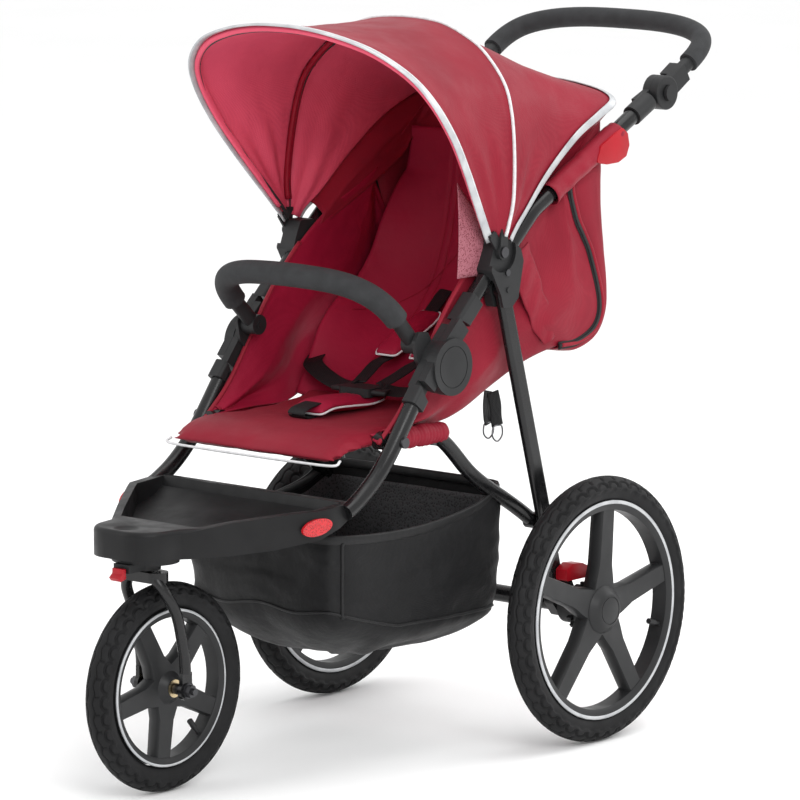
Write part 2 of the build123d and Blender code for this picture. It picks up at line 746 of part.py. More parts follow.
with BuildPart() as bumper_pad:
    with BuildLine() as pad_path:
        Spline(*bumper_curve)
    pad_line = pad_path.edge().trim(0.105, 0.895)
    with BuildSketch(Plane(origin=pad_line @ 0, z_dir=pad_line % 0)):
        Circle(17.5)
    sweep(path=pad_line)
    add(bumper_bar.part, mode=Mode.SUBTRACT)
bumper_pad.part.label = "bumper_pad"
export_step(bumper_pad.part, "parts/bumper_pad.step")

with BuildPart() as bumper_brackets:
    add(side_block(170.5, 176.6, [
        (-318, 628), (-308, 642), (-288, 640), (-276, 620), (-262, 606), (-262, 590),
        (-296, 580), (-312, 600),
    ], 5))
    add(cross_rod(BUMPER_PIVOT, 5.0, 143, 171))
    mirror(about=Plane.YZ)
bumper_brackets.part.label = "bumper_brackets"
export_step(bumper_brackets.part, "parts/bumper_brackets.step")


# ---- seat link: bent tubes, seat and strap pads ------------------------
SEAT_RUN = [
    pt(SEAT_TUBE_X, -388, 490), pt(SEAT_TUBE_X, -330, 490), pt(SEAT_TUBE_X, -268, 487),
    pt(SEAT_TUBE_X, -232, 466), pt(166, -185, 422), pt(173, -110, 371), pt(178, -52, 332),
]
with BuildPart() as seat_tubes:
    add(smooth_tube(SEAT_RUN, 11))
    add(cross_rod((-52, 332), 12.5, 171, 190.5))
    add(cross_rod(SEAT_PIVOT, 12.0, 154, 176.4))
    add(cross_rod(SEAT_PIVOT, 4.05, 150, 180), mode=Mode.SUBTRACT)
    mirror(about=Plane.YZ)
    # cross rod under the seat
    add(cross_rod((-238, 470), 6, -160, 160))
seat_tubes.part.label = "seat_tubes"
export_step(seat_tubes.part, "parts/seat_tubes.step")

with BuildPart() as seat_cushion:
    add(side_block(-153, 153, [
        (-402, 482), (-402, 497), (-250, 495), (-90, 474), (-90, 460), (-250, 479),
    ]))
    add(side_block(-170, 170, [
        (-480, 463), (-480, 473), (-440, 492), (-402, 497), (-402, 484), (-440, 478),
    ]))
seat_cushion.part.label = "seat_cushion"
export_step(seat_cushion.part, "parts/seat_cushion.step")

with BuildPart() as crotch_strap:
    add(side_block(-34, 34, [
        (-352, 500), (-352, 512), (-250, 512), (-232, 522), (-222, 512), (-250, 499),
    ]))
crotch_strap.part.label = "crotch_strap"
export_step(crotch_strap.part, "parts/crotch_strap.step")

with BuildPart() as buckle:
    with BuildSketch(level_plane(524)):
        with Locations((0, -232)):
            RectangleRounded(62, 44, 10)
    extrude(amount=13)
buckle.part.label = "buckle"
export_step(buckle.part, "parts/buckle.step")


# ---- back: backrest, pouch and shoulder pads ---------------------------
BACK_LOW = (-70.0, 478.0)
BACK_HIGH = (84.0, 884.0)
with BuildPart() as backrest:
    add(side_block(-172, 172, [
        BACK_LOW, (BACK_LOW[0] + 16, BACK_LOW[1] - 6),
        (BACK_HIGH[0] + 14, BACK_HIGH[1] - 6), BACK_HIGH,
    ]))
backrest.part.label = "backrest"
export_step(backrest.part, "parts/backrest.step")

with BuildPart() as back_pouch:
    add(side_block(-178, 178, [
        (-6, 592), (48, 576), (96, 582), (120, 630), (129, 660), (124, 744),
        (126, 866), (103, 880),
    ]))
back_pouch.part.label = "back_pouch"
export_step(back_pouch.part, "parts/back_pouch.step")

with BuildPart() as shoulder_pads:
    for x in (-62, 62):
        add(side_block(x - 26, x + 26, [
            (-264, 586), (-230, 580), (-168, 608), (-112, 640), (-118, 652),
            (-172, 622), (-232, 593), (-264, 599),
        ]))
shoulder_pads.part.label = "shoulder_pads"
export_step(shoulder_pads.part, "parts/shoulder_pads.step")


# ---- canopy ------------------------------------------------------------
FRONT_ANGLE = 127.0
MID_ANGLE = 85.0
REAR_ANGLE = 39.0
SKIN = 2.5
FRONT_RIB = [(204, 40), (216, 105), (226, 160), (234, 225), (230, 290), (210, 340),
             (165, 382), (108, 406), (52, 418), (0, 421)]
MID_RIB = [(218, 40), (224, 80), (220, 147), (210, 205), (192, 247), (151, 289),
           (111, 311), (71, 325), (32, 330), (0, 331)]
REAR_RIB = [(208, 44), (202, 90), (196, 150), (194, 210), (195, 265), (192, 310),
            (172, 338), (120, 349), (60, 352), (0, 353)]


def inset_rib(rib, depth):
    """Half rib moved inwards by a depth, square to the rib."""
    loop = rib + [(-rib[-2][0], rib[-2][1])]
    moved = []
    for i, (x, r) in enumerate(rib):
        ahead = loop[i + 1]
        behind = loop[max(i - 1, 0)]
        dx = ahead[0] - behind[0]
        dr = ahead[1] - behind[1]
        size = (dx * dx + dr * dr) ** 0.5
        moved.append((x - dr / size * depth, r + dx / size * depth))
    moved[-1] = (0, rib[-1][1] - depth)
    return moved


def rib_band(rib, degrees, outer, inner):
    """Closed strip that follows a canopy rib, in that rib's own plane."""
    def curve(inset):
        half = inset_rib(rib, inset)
        return half + [(-x, r) for x, r in reversed(half[:-1])]

    far = curve(outer)
    near = curve(inner)
    with BuildSketch(tilted_plane(CANOPY_PIVOT, degrees)) as band:
        with BuildLine():
            Spline(*far)
            Line(far[-1], near[-1])
            Spline(*near)
            Line(near[0], far[0])
        make_face()
    return band.sketch


def canopy_panel(rib_a, angle_a, rib_b, angle_b):
    """Fabric skin stretched between two ribs."""
    face_a = rib_band(rib_a, angle_a, 0, SKIN)
    face_b = rib_band(rib_b, angle_b, 0, SKIN)
    with BuildPart() as panel:
        add(face_a)
        add(face_b)
        loft(ruled=True)
    return panel.part


def canopy_hoop(rib, degrees):
    """Flat bow just inside the fabric, with a clip at each end."""
    low = [(rib[0][0] - 1, rib[0][1] - 12)]
    band = rib_band(low + rib, degrees, SKIN + 4.5, SKIN + 7.5)
    with BuildPart() as hoop:
        add(band)
        extrude(amount=3.5, both=True)
    return hoop.part


with BuildPart() as canopy_front_panel:
    add(canopy_panel(FRONT_RIB, FRONT_ANGLE, MID_RIB, MID_ANGLE + 0.6))
canopy_front_panel.part.label = "canopy_front_panel"
export_step(canopy_front_panel.part, "parts/canopy_front_panel.step")

with BuildPart() as canopy_rear_panel:
    add(canopy_panel(MID_RIB, MID_ANGLE - 0.6, REAR_RIB, REAR_ANGLE))
canopy_rear_panel.part.label = "canopy_rear_panel"
export_step(canopy_rear_panel.part, "parts/canopy_rear_panel.step")


def clip_arm(x, degrees, length):
    """Flat arm from the canopy pivot out along a hoop."""
    with BuildPart() as arm:
        add(side_block(x, x + 3.6, sleeve_outline(
            CANOPY_PIVOT, out_from(CANOPY_PIVOT, degrees, length), 8)))
        add(cross_rod(CANOPY_PIVOT, 11, x, x + 3.6))
        add(cross_rod(CANOPY_PIVOT, 4.05, x - 1, x + 5), mode=Mode.SUBTRACT)
    return arm.part


with BuildPart() as canopy_front_hoop:
    add(canopy_hoop(FRONT_RIB, FRONT_ANGLE))
    add(clip_arm(205.3, FRONT_ANGLE, 33))
    add(side_block(194, 208.8, sleeve_outline(
        out_from(CANOPY_PIVOT, FRONT_ANGLE, 27), out_from(CANOPY_PIVOT, FRONT_ANGLE, 36), 6)))
    mirror(about=Plane.YZ)
canopy_front_hoop.part.label = "canopy_front_hoop"
export_step(canopy_front_hoop.part, "parts/canopy_front_hoop.step")

with BuildPart() as canopy_mid_hoop:
    add(canopy_hoop(MID_RIB, MID_ANGLE))
    add(clip_arm(209.2, MID_ANGLE, 34))
    mirror(about=Plane.YZ)
canopy_mid_hoop.part.label = "canopy_mid_hoop"
export_step(canopy_mid_hoop.part, "parts/canopy_mid_hoop.step")


# ---- storage basket ----------------------------------------------------
BASKET_WALL = 2.5
BASKET_SIDE = [(-462, 348), (-150, 372), (-122, 385), (-116, 222), (-160, 200),
               (-300, 186), (-420, 188), (-456, 240)]


def basket_block(inset, lift):
    """Basket outline, drawn in by the cloth thickness."""
    with BuildPart() as solid:
        with BuildSketch(level_plane(150)):
            with BuildLine():
                Polyline(
                    (-134 + inset, -462 + inset), (134 - inset, -462 + inset),
                    (152 - inset, -430), (181 - inset, -300), (181 - inset, -215),
                    (157 - inset, -150), (157 - inset, -116 - inset),
                    (-157 + inset, -116 - inset), (-157 + inset, -150),
                    (-181 + inset, -215), (-181 + inset, -300), (-152 + inset, -430),
                    close=True,
                )
            make_face()
        extrude(amount=300)
        with BuildSketch(side_plane(-200)):
            with BuildLine():
                Polyline(*[(y, z + lift if z < 300 else z + lift * 20)
                           for y, z in BASKET_SIDE], close=True)
            make_face()
        extrude(amount=400, mode=Mode.INTERSECT)
    return solid.part


with BuildPart() as basket:
    add(basket_block(0, 0))
    add(basket_block(BASKET_WALL, BASKET_WALL), mode=Mode.SUBTRACT)
basket.part.label = "basket"
export_step(basket.part, "parts/basket.step")
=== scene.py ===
"""Looks of the jogging stroller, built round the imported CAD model."""
import json
import math

import bpy
import numpy as np
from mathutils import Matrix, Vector


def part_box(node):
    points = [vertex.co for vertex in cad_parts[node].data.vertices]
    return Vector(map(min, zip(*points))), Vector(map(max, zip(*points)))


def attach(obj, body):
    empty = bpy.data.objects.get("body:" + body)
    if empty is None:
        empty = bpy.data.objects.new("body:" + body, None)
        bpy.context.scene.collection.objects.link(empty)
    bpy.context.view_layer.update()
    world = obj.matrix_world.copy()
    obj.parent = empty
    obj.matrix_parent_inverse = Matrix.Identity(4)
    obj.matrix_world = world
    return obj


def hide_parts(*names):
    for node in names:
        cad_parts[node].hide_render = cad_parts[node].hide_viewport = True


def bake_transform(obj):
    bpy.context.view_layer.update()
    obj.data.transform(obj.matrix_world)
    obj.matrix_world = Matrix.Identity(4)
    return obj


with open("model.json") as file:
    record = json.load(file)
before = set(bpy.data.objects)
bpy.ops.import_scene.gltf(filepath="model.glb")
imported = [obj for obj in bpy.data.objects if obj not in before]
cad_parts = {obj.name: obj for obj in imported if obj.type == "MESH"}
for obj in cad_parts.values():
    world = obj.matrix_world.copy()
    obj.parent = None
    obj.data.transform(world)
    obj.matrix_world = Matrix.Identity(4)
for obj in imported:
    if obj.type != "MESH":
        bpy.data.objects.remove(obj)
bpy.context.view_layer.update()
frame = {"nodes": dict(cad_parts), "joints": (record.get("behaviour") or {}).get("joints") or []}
NODES = frame["nodes"]

SIDES = (("left", 1), ("right", -1))
JOINT_AT = {j["name"]: Vector(j["pos_m"]) for j in frame["joints"] if j["type"] == "hinge"}

low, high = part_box("rear_tyre_left")
AXLE_Y = (low.y + high.y) / 2


def at(x, y, z):
    """Point from the side view's millimetres, measured from the rear axle."""
    return Vector((x * 0.001, y * 0.001 + AXLE_Y, z * 0.001))


# ---- materials ---------------------------------------------------------
class Finish:
    """A principled shader with its texture nodes."""

    def __init__(self, name, rough=0.5, metallic=0.0, color=(0.5, 0.5, 0.5), **sockets):
        self.m = bpy.data.materials.new(name)
        self.m.use_nodes = True
        self.tree = self.m.node_tree
        self.bsdf = self.tree.nodes["Principled BSDF"]
        self.bsdf.inputs["Roughness"].default_value = rough
        self.bsdf.inputs["Metallic"].default_value = metallic
        self.bsdf.inputs["Base Color"].default_value = (*color, 1)
        for key, value in sockets.items():
            self.bsdf.inputs[key.replace("_", " ")].default_value = value
        self.coord = self.add("ShaderNodeTexCoord").outputs["Object"]
        self.height = None

    def add(self, kind, **props):
        node = self.tree.nodes.new(kind)
        for key, value in props.items():
            setattr(node, key, value)
        return node

    def link(self, a, b):
        self.tree.links.new(a, b)

    def noise(self, scale, detail=3.0, rough=0.5, stretch=None):
        node = self.add("ShaderNodeTexNoise")
        node.inputs["Scale"].default_value = scale
        node.inputs["Detail"].default_value = detail
        node.inputs["Roughness"].default_value = rough
        source = self.coord
        if stretch:
            mapping = self.add("ShaderNodeMapping")
            mapping.inputs["Scale"].default_value = stretch
            self.link(self.coord, mapping.inputs["Vector"])
            source = mapping.outputs["Vector"]
        self.link(source, node.inputs["Vector"])
        return node.outputs["Fac"]

    def wave(self, scale, direction="X"):
        node = self.add("ShaderNodeTexWave", bands_direction=direction)
        node.inputs["Scale"].default_value = scale
        node.inputs["Distortion"].default_value = 0.4
        node.inputs["Detail Scale"].default_value = 2.0
        self.link(self.coord, node.inputs["Vector"])
        return node.outputs["Fac"]

    def cells(self, scale):
        node = self.add("ShaderNodeTexVoronoi")
        node.inputs["Scale"].default_value = scale
        self.link(self.coord, node.inputs["Vector"])
        return node.outputs["Distance"]

    def math(self, operation, a, b):
        node = self.add("ShaderNodeMath", operation=operation)
        for socket, value in zip(node.inputs, (a, b)):
            if isinstance(value, (int, float)):
                socket.default_value = value
            else:
                self.link(value, socket)
        return node.outputs[0]

    def span(self, value, a, b, low_end, high_end):
        node = self.add("ShaderNodeMapRange")
        node.inputs["From Min"].default_value = a
        node.inputs["From Max"].default_value = b
        node.inputs["To Min"].default_value = low_end
        node.inputs["To Max"].default_value = high_end
        self.link(value, node.inputs["Value"])
        return node.outputs[0]

    def colours(self, value, dark, light, a=0.3, b=0.7):
        node = self.add("ShaderNodeValToRGB")
        node.color_ramp.elements[0].position = a
        node.color_ramp.elements[0].color = (*dark, 1)
        node.color_ramp.elements[1].position = b
        node.color_ramp.elements[1].color = (*light, 1)
        self.link(value, node.inputs["Fac"])
        self.link(node.outputs["Color"], self.bsdf.inputs["Base Color"])

    def roughness(self, value, a, b):
        self.link(self.span(value, 0.3, 0.7, a, b), self.bsdf.inputs["Roughness"])

    def bump(self, value, strength, distance):
        node = self.add("ShaderNodeBump")
        node.inputs["Strength"].default_value = strength
        node.inputs["Distance"].default_value = distance
        self.link(value, node.inputs["Height"])
        if self.height is not None:
            self.link(self.height, node.inputs["Normal"])
        self.height = node.outputs["Normal"]
        self.link(self.height, self.bsdf.inputs["Normal"])


def woven(name, dark, light, rough, pitch, weave=0.25, folds=0.25, **sockets):
    """Cloth with a plain weave of that pitch in metres."""
    f = Finish(name, rough=rough, color=light, **sockets)
    scale = 0.314 / pitch
    warp = f.wave(scale, "X")
    weft = f.wave(scale * 0.8, "DIAGONAL")
    thread = f.math("MULTIPLY", warp, weft)
    patch = f.noise(7.0, 4.0)
    tone = f.math("ADD", f.math("MULTIPLY", patch, 0.8), f.math("MULTIPLY", thread, 0.2))
    f.colours(tone, dark, light, 0.28, 0.62)
    f.roughness(f.noise(22.0, 3.0), rough - 0.06, rough + 0.08)
    f.bump(f.noise(26.0, 4.0, 0.55), folds, 0.006)
    f.bump(thread, weave, 0.0006)
    return f.m


def moulded(name, color, rough, grain=900.0, strength=0.12, wear=0.25, specular=0.3):
    """Moulded plastic with a fine spark-eroded grain."""
    f = Finish(name, rough=rough, color=color, Specular_IOR_Level=specular)
    light = tuple(min(1.0, c * (1 + wear) + 0.004) for c in color)
    f.colours(f.noise(14.0, 5.0), color, light, 0.35, 0.75)
    f.roughness(f.noise(40.0, 3.0), rough - 0.06, rough + 0.08)
    f.bump(f.noise(grain, 2.0), strength, 0.0004)
    return f.m


RED_DARK = (0.190, 0.0085, 0.020)
RED_LIGHT = (0.245, 0.0130, 0.027)
MAT = {}
MAT["red"] = woven("red_cloth", RED_DARK, RED_LIGHT, 0.52, 0.0011, weave=0.22,
                   Sheen_Weight=0.02, Sheen_Roughness=0.4, Specular_IOR_Level=0.14)
MAT["red_deep"] = woven("red_lining", (0.230, 0.0045, 0.024), (0.300, 0.0080, 0.034), 0.6,
                        0.0011, Specular_IOR_Level=0.2)
# painted light: the canopy's inner face and front hem get a far lighter red than the outer cloth,
# standing in for light shining through the canopy
MAT["red_inside_painted_light"] = woven("red_canopy_lining_painted_light", (0.58, 0.066, 0.120), (0.70, 0.090, 0.150), 0.6,
                          0.0011, Specular_IOR_Level=0.2)
MAT["seam"] = woven("seam_tape", (0.20, 0.003, 0.014), (0.27, 0.006, 0.020), 0.55, 0.0009,
                    Specular_IOR_Level=0.2)
MAT["black_cloth"] = woven("black_cloth", (0.0035, 0.0035, 0.004), (0.0075, 0.0075, 0.008), 0.5,
                           0.0010, folds=0.45, Specular_IOR_Level=0.22)
MAT["binding"] = woven("binding", (0.004, 0.004, 0.0045), (0.009, 0.009, 0.0095), 0.45, 0.0014,
                       Specular_IOR_Level=0.3)
MAT["webbing"] = woven("webbing", (0.003, 0.003, 0.0035), (0.010, 0.010, 0.011), 0.6, 0.0016,
                       weave=0.6, folds=0.05, Specular_IOR_Level=0.25)
MAT["tube"] = moulded("powder_coat", (0.0045, 0.0045, 0.005), 0.24, grain=1500.0,
                      strength=0.05, wear=0.1, specular=0.36)
MAT["joint"] = moulded("joint_plastic", (0.0150, 0.0153, 0.0160), 0.48, strength=0.15,
                       specular=0.22)
MAT["tray"] = moulded("tray_plastic", (0.0062, 0.0062, 0.0066), 0.42, grain=700.0, strength=0.2,
                      specular=0.2)
MAT["wheel"] = moulded("wheel_plastic", (0.0145, 0.0148, 0.0155), 0.42, strength=0.1, specular=0.25)
MAT["tyre"] = moulded("rubber", (0.0060, 0.0060, 0.0065), 0.62, grain=1100.0, strength=0.2,
                      wear=0.5, specular=0.2)
MAT["valve"] = moulded("valve_rubber", (0.012, 0.012, 0.013), 0.5)


def foam():
    f = Finish("foam_grip", rough=0.85, color=(0.026, 0.027, 0.029))
    f.colours(f.noise(60.0, 4.0), (0.014, 0.0148, 0.016), (0.023, 0.024, 0.026))
    f.bump(f.cells(900.0), 0.35, 0.0006)
    f.bump(f.noise(30.0), 0.08, 0.003)
    return f.m


def steel(name, color, rough):
    f = Finish(name, rough=rough, metallic=1.0, color=color)
    brushed = f.noise(120.0, 3.0, 0.6, stretch=(1.0, 6.0, 6.0))
    f.colours(brushed, tuple(c * 0.8 for c in color), color)
    f.roughness(brushed, rough - 0.08, rough + 0.12)
    f.bump(brushed, 0.08, 0.0004)
    return f.m


def silver_tape():
    """Reflective tape of tiny glass beads, grey with a bright sheen."""
    f = Finish("silver_tape", rough=0.4, metallic=0.25, color=(0.46, 0.47, 0.48))
    beads = f.cells(1500.0)
    f.colours(f.noise(40.0, 3.0), (0.36, 0.37, 0.385), (0.52, 0.53, 0.54))
    f.bump(beads, 0.18, 0.0004)
    return f.m


def white_piping():
    f = Finish("white_piping", rough=0.45, color=(0.82, 0.82, 0.83))
    f.colours(f.noise(160.0, 3.0), (0.52, 0.52, 0.53), (0.66, 0.66, 0.67))
    f.bump(f.wave(240.0, "DIAGONAL"), 0.25, 0.0005)
    return f.m


def gloss_red():
    f = Finish("red_plastic", rough=0.32, color=(0.34, 0.006, 0.013), Specular_IOR_Level=0.25)
    f.colours(f.noise(20.0), (0.30, 0.0045, 0.011), (0.37, 0.008, 0.016))
    f.bump(f.noise(600.0, 2.0), 0.05, 0.0003)
    return f.m


def reflector():
    """Red reflector with small prisms under a smooth face."""
    f = Finish("reflector", rough=0.12, color=(0.50, 0.008, 0.012), Coat_Weight=0.25)
    prisms = f.cells(420.0)
    f.colours(prisms, (0.20, 0.001, 0.003), (0.52, 0.010, 0.016), 0.1, 0.6)
    f.bump(prisms, 0.5, 0.0012)
    return f.m


def net(name, ground, thread, pitch):
    """Knitted net: holes in rows, shown by colour and depth."""
    f = Finish(name, rough=0.7, color=thread)
    holes = f.cells(1.0 / pitch)
    f.colours(holes, ground, thread, 0.28, 0.42)
    f.bump(holes, 0.6, 0.0012)
    return f.m


MAT["foam"] = foam()
MAT["steel"] = steel("dark_steel", (0.085, 0.085, 0.09), 0.38)
MAT["wire"] = steel("grey_wire", (0.22, 0.22, 0.23), 0.4)
MAT["brass"] = steel("bearing_brass", (0.62, 0.50, 0.30), 0.3)
MAT["silver"] = silver_tape()
MAT["white"] = white_piping()
MAT["red_plastic"] = gloss_red()
MAT["reflector"] = reflector()
MAT["red_net"] = net("red_net", (0.14, 0.012, 0.024), (0.34, 0.11, 0.14), 0.0026)
MAT["grey_net"] = net("grey_net", (0.010, 0.010, 0.011), (0.050, 0.052, 0.055), 0.0036)

NODE_FINISH = {
    "tube": ["lower_tube", "upper_tube", "handle_tube", "rear_leg", "seat_tubes", "fork",
             "rear_axle"],
    "joint": ["lower_hinge", "upper_hinge", "hinge_bracket", "handle_socket", "handle_discs",
              "bumper_brackets", "bumper_bar", "swivel_housing", "brake_housings",
              "handle_button", "buckle", "canopy_front_hoop", "canopy_mid_hoop",
              "push_handle"],
    "tray": ["footrest_tray"],
    "wheel": ["front_rim", "rear_rim"],
    "tyre": ["front_tyre", "rear_tyre"],
    "valve": ["front_valve", "rear_valve"],
    "steel": ["front_axle", "seat_bolts", "bracket_bolts"],
    "brass": ["front_bearings"],
    "foam": ["handle_grip", "bumper_pad"],
    "red_plastic": ["fold_trigger", "brake_pedals", "swivel_lock"],
    "reflector": ["reflectors"],
}


EDGE_RADIUS = {"tray": 0.0030, "wheel": 0.0016, "red_plastic": 0.0014}


def round_edges(node, radius):
    """Rounds the sharp edges of a moulding, after welding its coincident points."""
    weld = node.modifiers.new("weld", "WELD")
    weld.merge_threshold = 0.00002
    bevel = node.modifiers.new("bevel", "BEVEL")
    bevel.limit_method = "ANGLE"
    bevel.angle_limit = math.radians(40)
    bevel.width = radius
    bevel.segments = 3
    bevel.use_clamp_overlap = True
    node.data.polygons.foreach_set("use_smooth", [True] * len(node.data.polygons))


for node_name, node in NODES.items():
    for key, stems in NODE_FINISH.items():
        if any(node_name.startswith(stem) for stem in stems):
            node.data.materials.clear()
            node.data.materials.append(MAT[key])
            if key in EDGE_RADIUS:
                round_edges(node, EDGE_RADIUS[key])
            break


# ---- mesh helpers ------------------------------------------------------
def piece(name, verts, faces, finish):
    mesh = bpy.data.meshes.new(name)
    mesh.from_pydata([tuple(v) for v in verts], [], faces)
    mesh.materials.append(MAT[finish])
    mesh.polygons.foreach_set("use_smooth", [True] * len(mesh.polygons))
    mesh.update()
    thing = bpy.data.objects.new(name, mesh)
    bpy.context.scene.collection.objects.link(thing)
    return thing


def sewn(made, body):
    """A cloth piece rides one body."""
    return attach(made, body)


def unit(v):
    size = np.linalg.norm(v, axis=-1, keepdims=True)
    return v / np.maximum(size, 1e-12)


def normals_of(grid, wrap=False):
    if wrap:
        du = np.roll(grid, -1, 0) - np.roll(grid, 1, 0)
    else:
        du = np.gradient(grid, axis=0)
    dv = np.gradient(grid, axis=1)
    return unit(np.cross(du, dv))


def shell(name, grid, thick, finish, wrap=False, lining=None):
    """Sheet with a real thickness, closed round its edges. grid is (nu, nv, 3).
    lining is the finish of the side that the normals point to."""
    grid = np.asarray(grid, float)
    nu, nv = grid.shape[:2]
    offset = normals_of(grid, wrap) * thick / 2
    verts = np.concatenate([(grid + offset).reshape(-1, 3), (grid - offset).reshape(-1, 3)])
    back = nu * nv
    faces = []
    for i in range(nu if wrap else nu - 1):
        k = (i + 1) % nu
        for j in range(nv - 1):
            a, b, c, d = i * nv + j, k * nv + j, k * nv + j + 1, i * nv + j + 1
            faces.append((a, b, c, d))
            faces.append((back + d, back + c, back + b, back + a))
        for j, flip in ((0, False), (nv - 1, True)):
            a, b = i * nv + j, k * nv + j
            quad = (a, back + a, back + b, b)
            faces.append(quad[::-1] if flip else quad)
    if not wrap:
        for j in range(nv - 1):
            a, b = j, j + 1
            faces.append((a, b, back + b, back + a))
            a, b = (nu - 1) * nv + j, (nu - 1) * nv + j + 1
            faces.append((b, a, back + a, back + b))
    made = piece(name, verts, faces, finish)
    if lining:
        made.data.materials.append(MAT[lining])
        for face in made.data.polygons:
            if all(v < back for v in face.vertices):
                face.material_index = 1
    return made


def pillow(name, grid, up, down, finish, power):
    """Crowned closed pad: up and down are its heights over the middle surface, in metres."""
    grid = np.asarray(grid, float)
    nu, nv = grid.shape[:2]
    n = normals_of(grid)
    s = np.linspace(-1, 1, nu)[:, None]
    t = np.linspace(-1, 1, nv)[None, :]
    crown = (np.clip(1 - s ** 4, 0, 1) * np.clip(1 - t ** 4, 0, 1)) ** power
    top = grid + n * (up * crown)[..., None]
    bottom = grid - n * (down * crown)[..., None]
    verts = list(top.reshape(-1, 3))
    index = {}
    for i in range(nu):
        for j in range(nv):
            if i in (0, nu - 1) or j in (0, nv - 1):
                index[i, j] = i * nv + j
            else:
                index[i, j] = len(verts)
                verts.append(bottom[i, j])
    faces = []
    for i in range(nu - 1):
        for j in range(nv - 1):
            a, b, c, d = i * nv + j, (i + 1) * nv + j, (i + 1) * nv + j + 1, i * nv + j + 1
            faces.append((a, b, c, d))
            quad = (index[i, j + 1], index[i + 1, j + 1], index[i + 1, j], index[i, j])
            if set(quad) != {a, b, c, d}:
                faces.append(quad)
    return piece(name, verts, faces, finish)


def through(points, count, closed=False):
    """Smooth curve through the points, evenly resampled."""
    p = np.array([tuple(q) for q in points], float)
    n = len(p)
    dense = []
    spans = n if closed else n - 1
    for i in range(spans):
        if closed:
            p0, p1, p2, p3 = p[(i - 1) % n], p[i], p[(i + 1) % n], p[(i + 2) % n]
        else:
            p1, p2 = p[i], p[i + 1]
            p0 = p[i - 1] if i > 0 else 2 * p1 - p2
            p3 = p[i + 2] if i + 2 < n else 2 * p2 - p1
        for t in np.linspace(0, 1, 24, endpoint=False):
            dense.append(0.5 * (2 * p1 + (p2 - p0) * t + (2 * p0 - 5 * p1 + 4 * p2 - p3) * t ** 2
                                + (3 * p1 - p0 - 3 * p2 + p3) * t ** 3))
    dense.append(p[0] if closed else p[-1])
    dense = np.array(dense)
    walk = np.concatenate([[0], np.cumsum(np.linalg.norm(np.diff(dense, axis=0), axis=1))])
    want = np.linspace(0, walk[-1], count + 1 if closed else count)
    out = np.stack([np.interp(want, walk, dense[:, k]) for k in range(dense.shape[1])], 1)
    return out[:-1] if closed else out


def sweep(name, path, half_w, half_t, finish, normals=None, sides=12, closed=False, square=1.0):
    """Band or tube along a path: half width across, half thickness along the normals."""
    path = np.asarray(path, float)
    n = len(path)
    if closed:
        tangent = unit(np.roll(path, -1, 0) - np.roll(path, 1, 0))
    else:
        tangent = unit(np.gradient(path, axis=0))
    if normals is None:
        up = np.array([0.0, 0.0, 1.0])
        if abs(tangent[0] @ up) > 0.9:
            up = np.array([1.0, 0.0, 0.0])
        out = []
        for t in tangent:
            up = up - t * (up @ t)
            up = up / np.linalg.norm(up)
            out.append(up)
        normals = np.array(out)
    normals = unit(normals - tangent * np.sum(normals * tangent, 1, keepdims=True))
    across = np.cross(tangent, normals)
    verts, faces = [], []
    for i in range(n):
        for k in range(sides):
            a = 2 * math.pi * k / sides
            c, s = math.cos(a), math.sin(a)
            c = math.copysign(abs(c) ** square, c)
            s = math.copysign(abs(s) ** square, s)
            verts.append(path[i] + across[i] * c * half_w + normals[i] * s * half_t)
    rings = n if closed else n - 1
    for i in range(rings):
        j = (i + 1) % n
        for k in range(sides):
            m = (k + 1) % sides
            faces.append((i * sides + k, i * sides + m, j * sides + m, j * sides + k))
    if not closed:
        faces.append(tuple(range(sides))[::-1])
        faces.append(tuple((n - 1) * sides + k for k in range(sides)))
    return piece(name, verts, faces, finish)


def rope(name, points, radius, finish, count=48, closed=False, sides=10):
    return sweep(name, through(points, count, closed), radius, radius, finish, sides=sides,
                 closed=closed)


def ripple(shape, seed, cells, size):
    """Smooth repeatable unevenness on a grid, in metres."""
    rng = np.random.default_rng(seed)
    total = np.zeros(shape)
    for k in range(3):
        cu, cv = cells[0] * 2 ** k, cells[1] * 2 ** k
        coarse = rng.uniform(-1, 1, (cu + 1, cv + 1))
        u = np.linspace(0, cu, shape[0])
        v = np.linspace(0, cv, shape[1])
        iu, iv = np.minimum(u.astype(int), cu - 1), np.minimum(v.astype(int), cv - 1)
        fu, fv = u - iu, v - iv
        fu, fv = fu * fu * (3 - 2 * fu), fv * fv * (3 - 2 * fv)
        a = coarse[iu][:, iv] * (1 - fu)[:, None] + coarse[iu + 1][:, iv] * fu[:, None]
        b = coarse[iu][:, iv + 1] * (1 - fu)[:, None] + coarse[iu + 1][:, iv + 1] * fu[:, None]
        total += (a * (1 - fv)[None, :] + b * fv[None, :]) / 2 ** k
    return total * size


def mirrored(grid):
    """The same surface on the other side of the middle plane."""
    flipped = np.array(grid, float)[::-1].copy()
    flipped[..., 0] *= -1
    return flipped


# ---- tyres with their tread, and the silver ring on each ---------------
TREAD_DEPTH = 0.0034
CROWN_REACH = 1.42      # angle round the section, in radians, that the tread covers


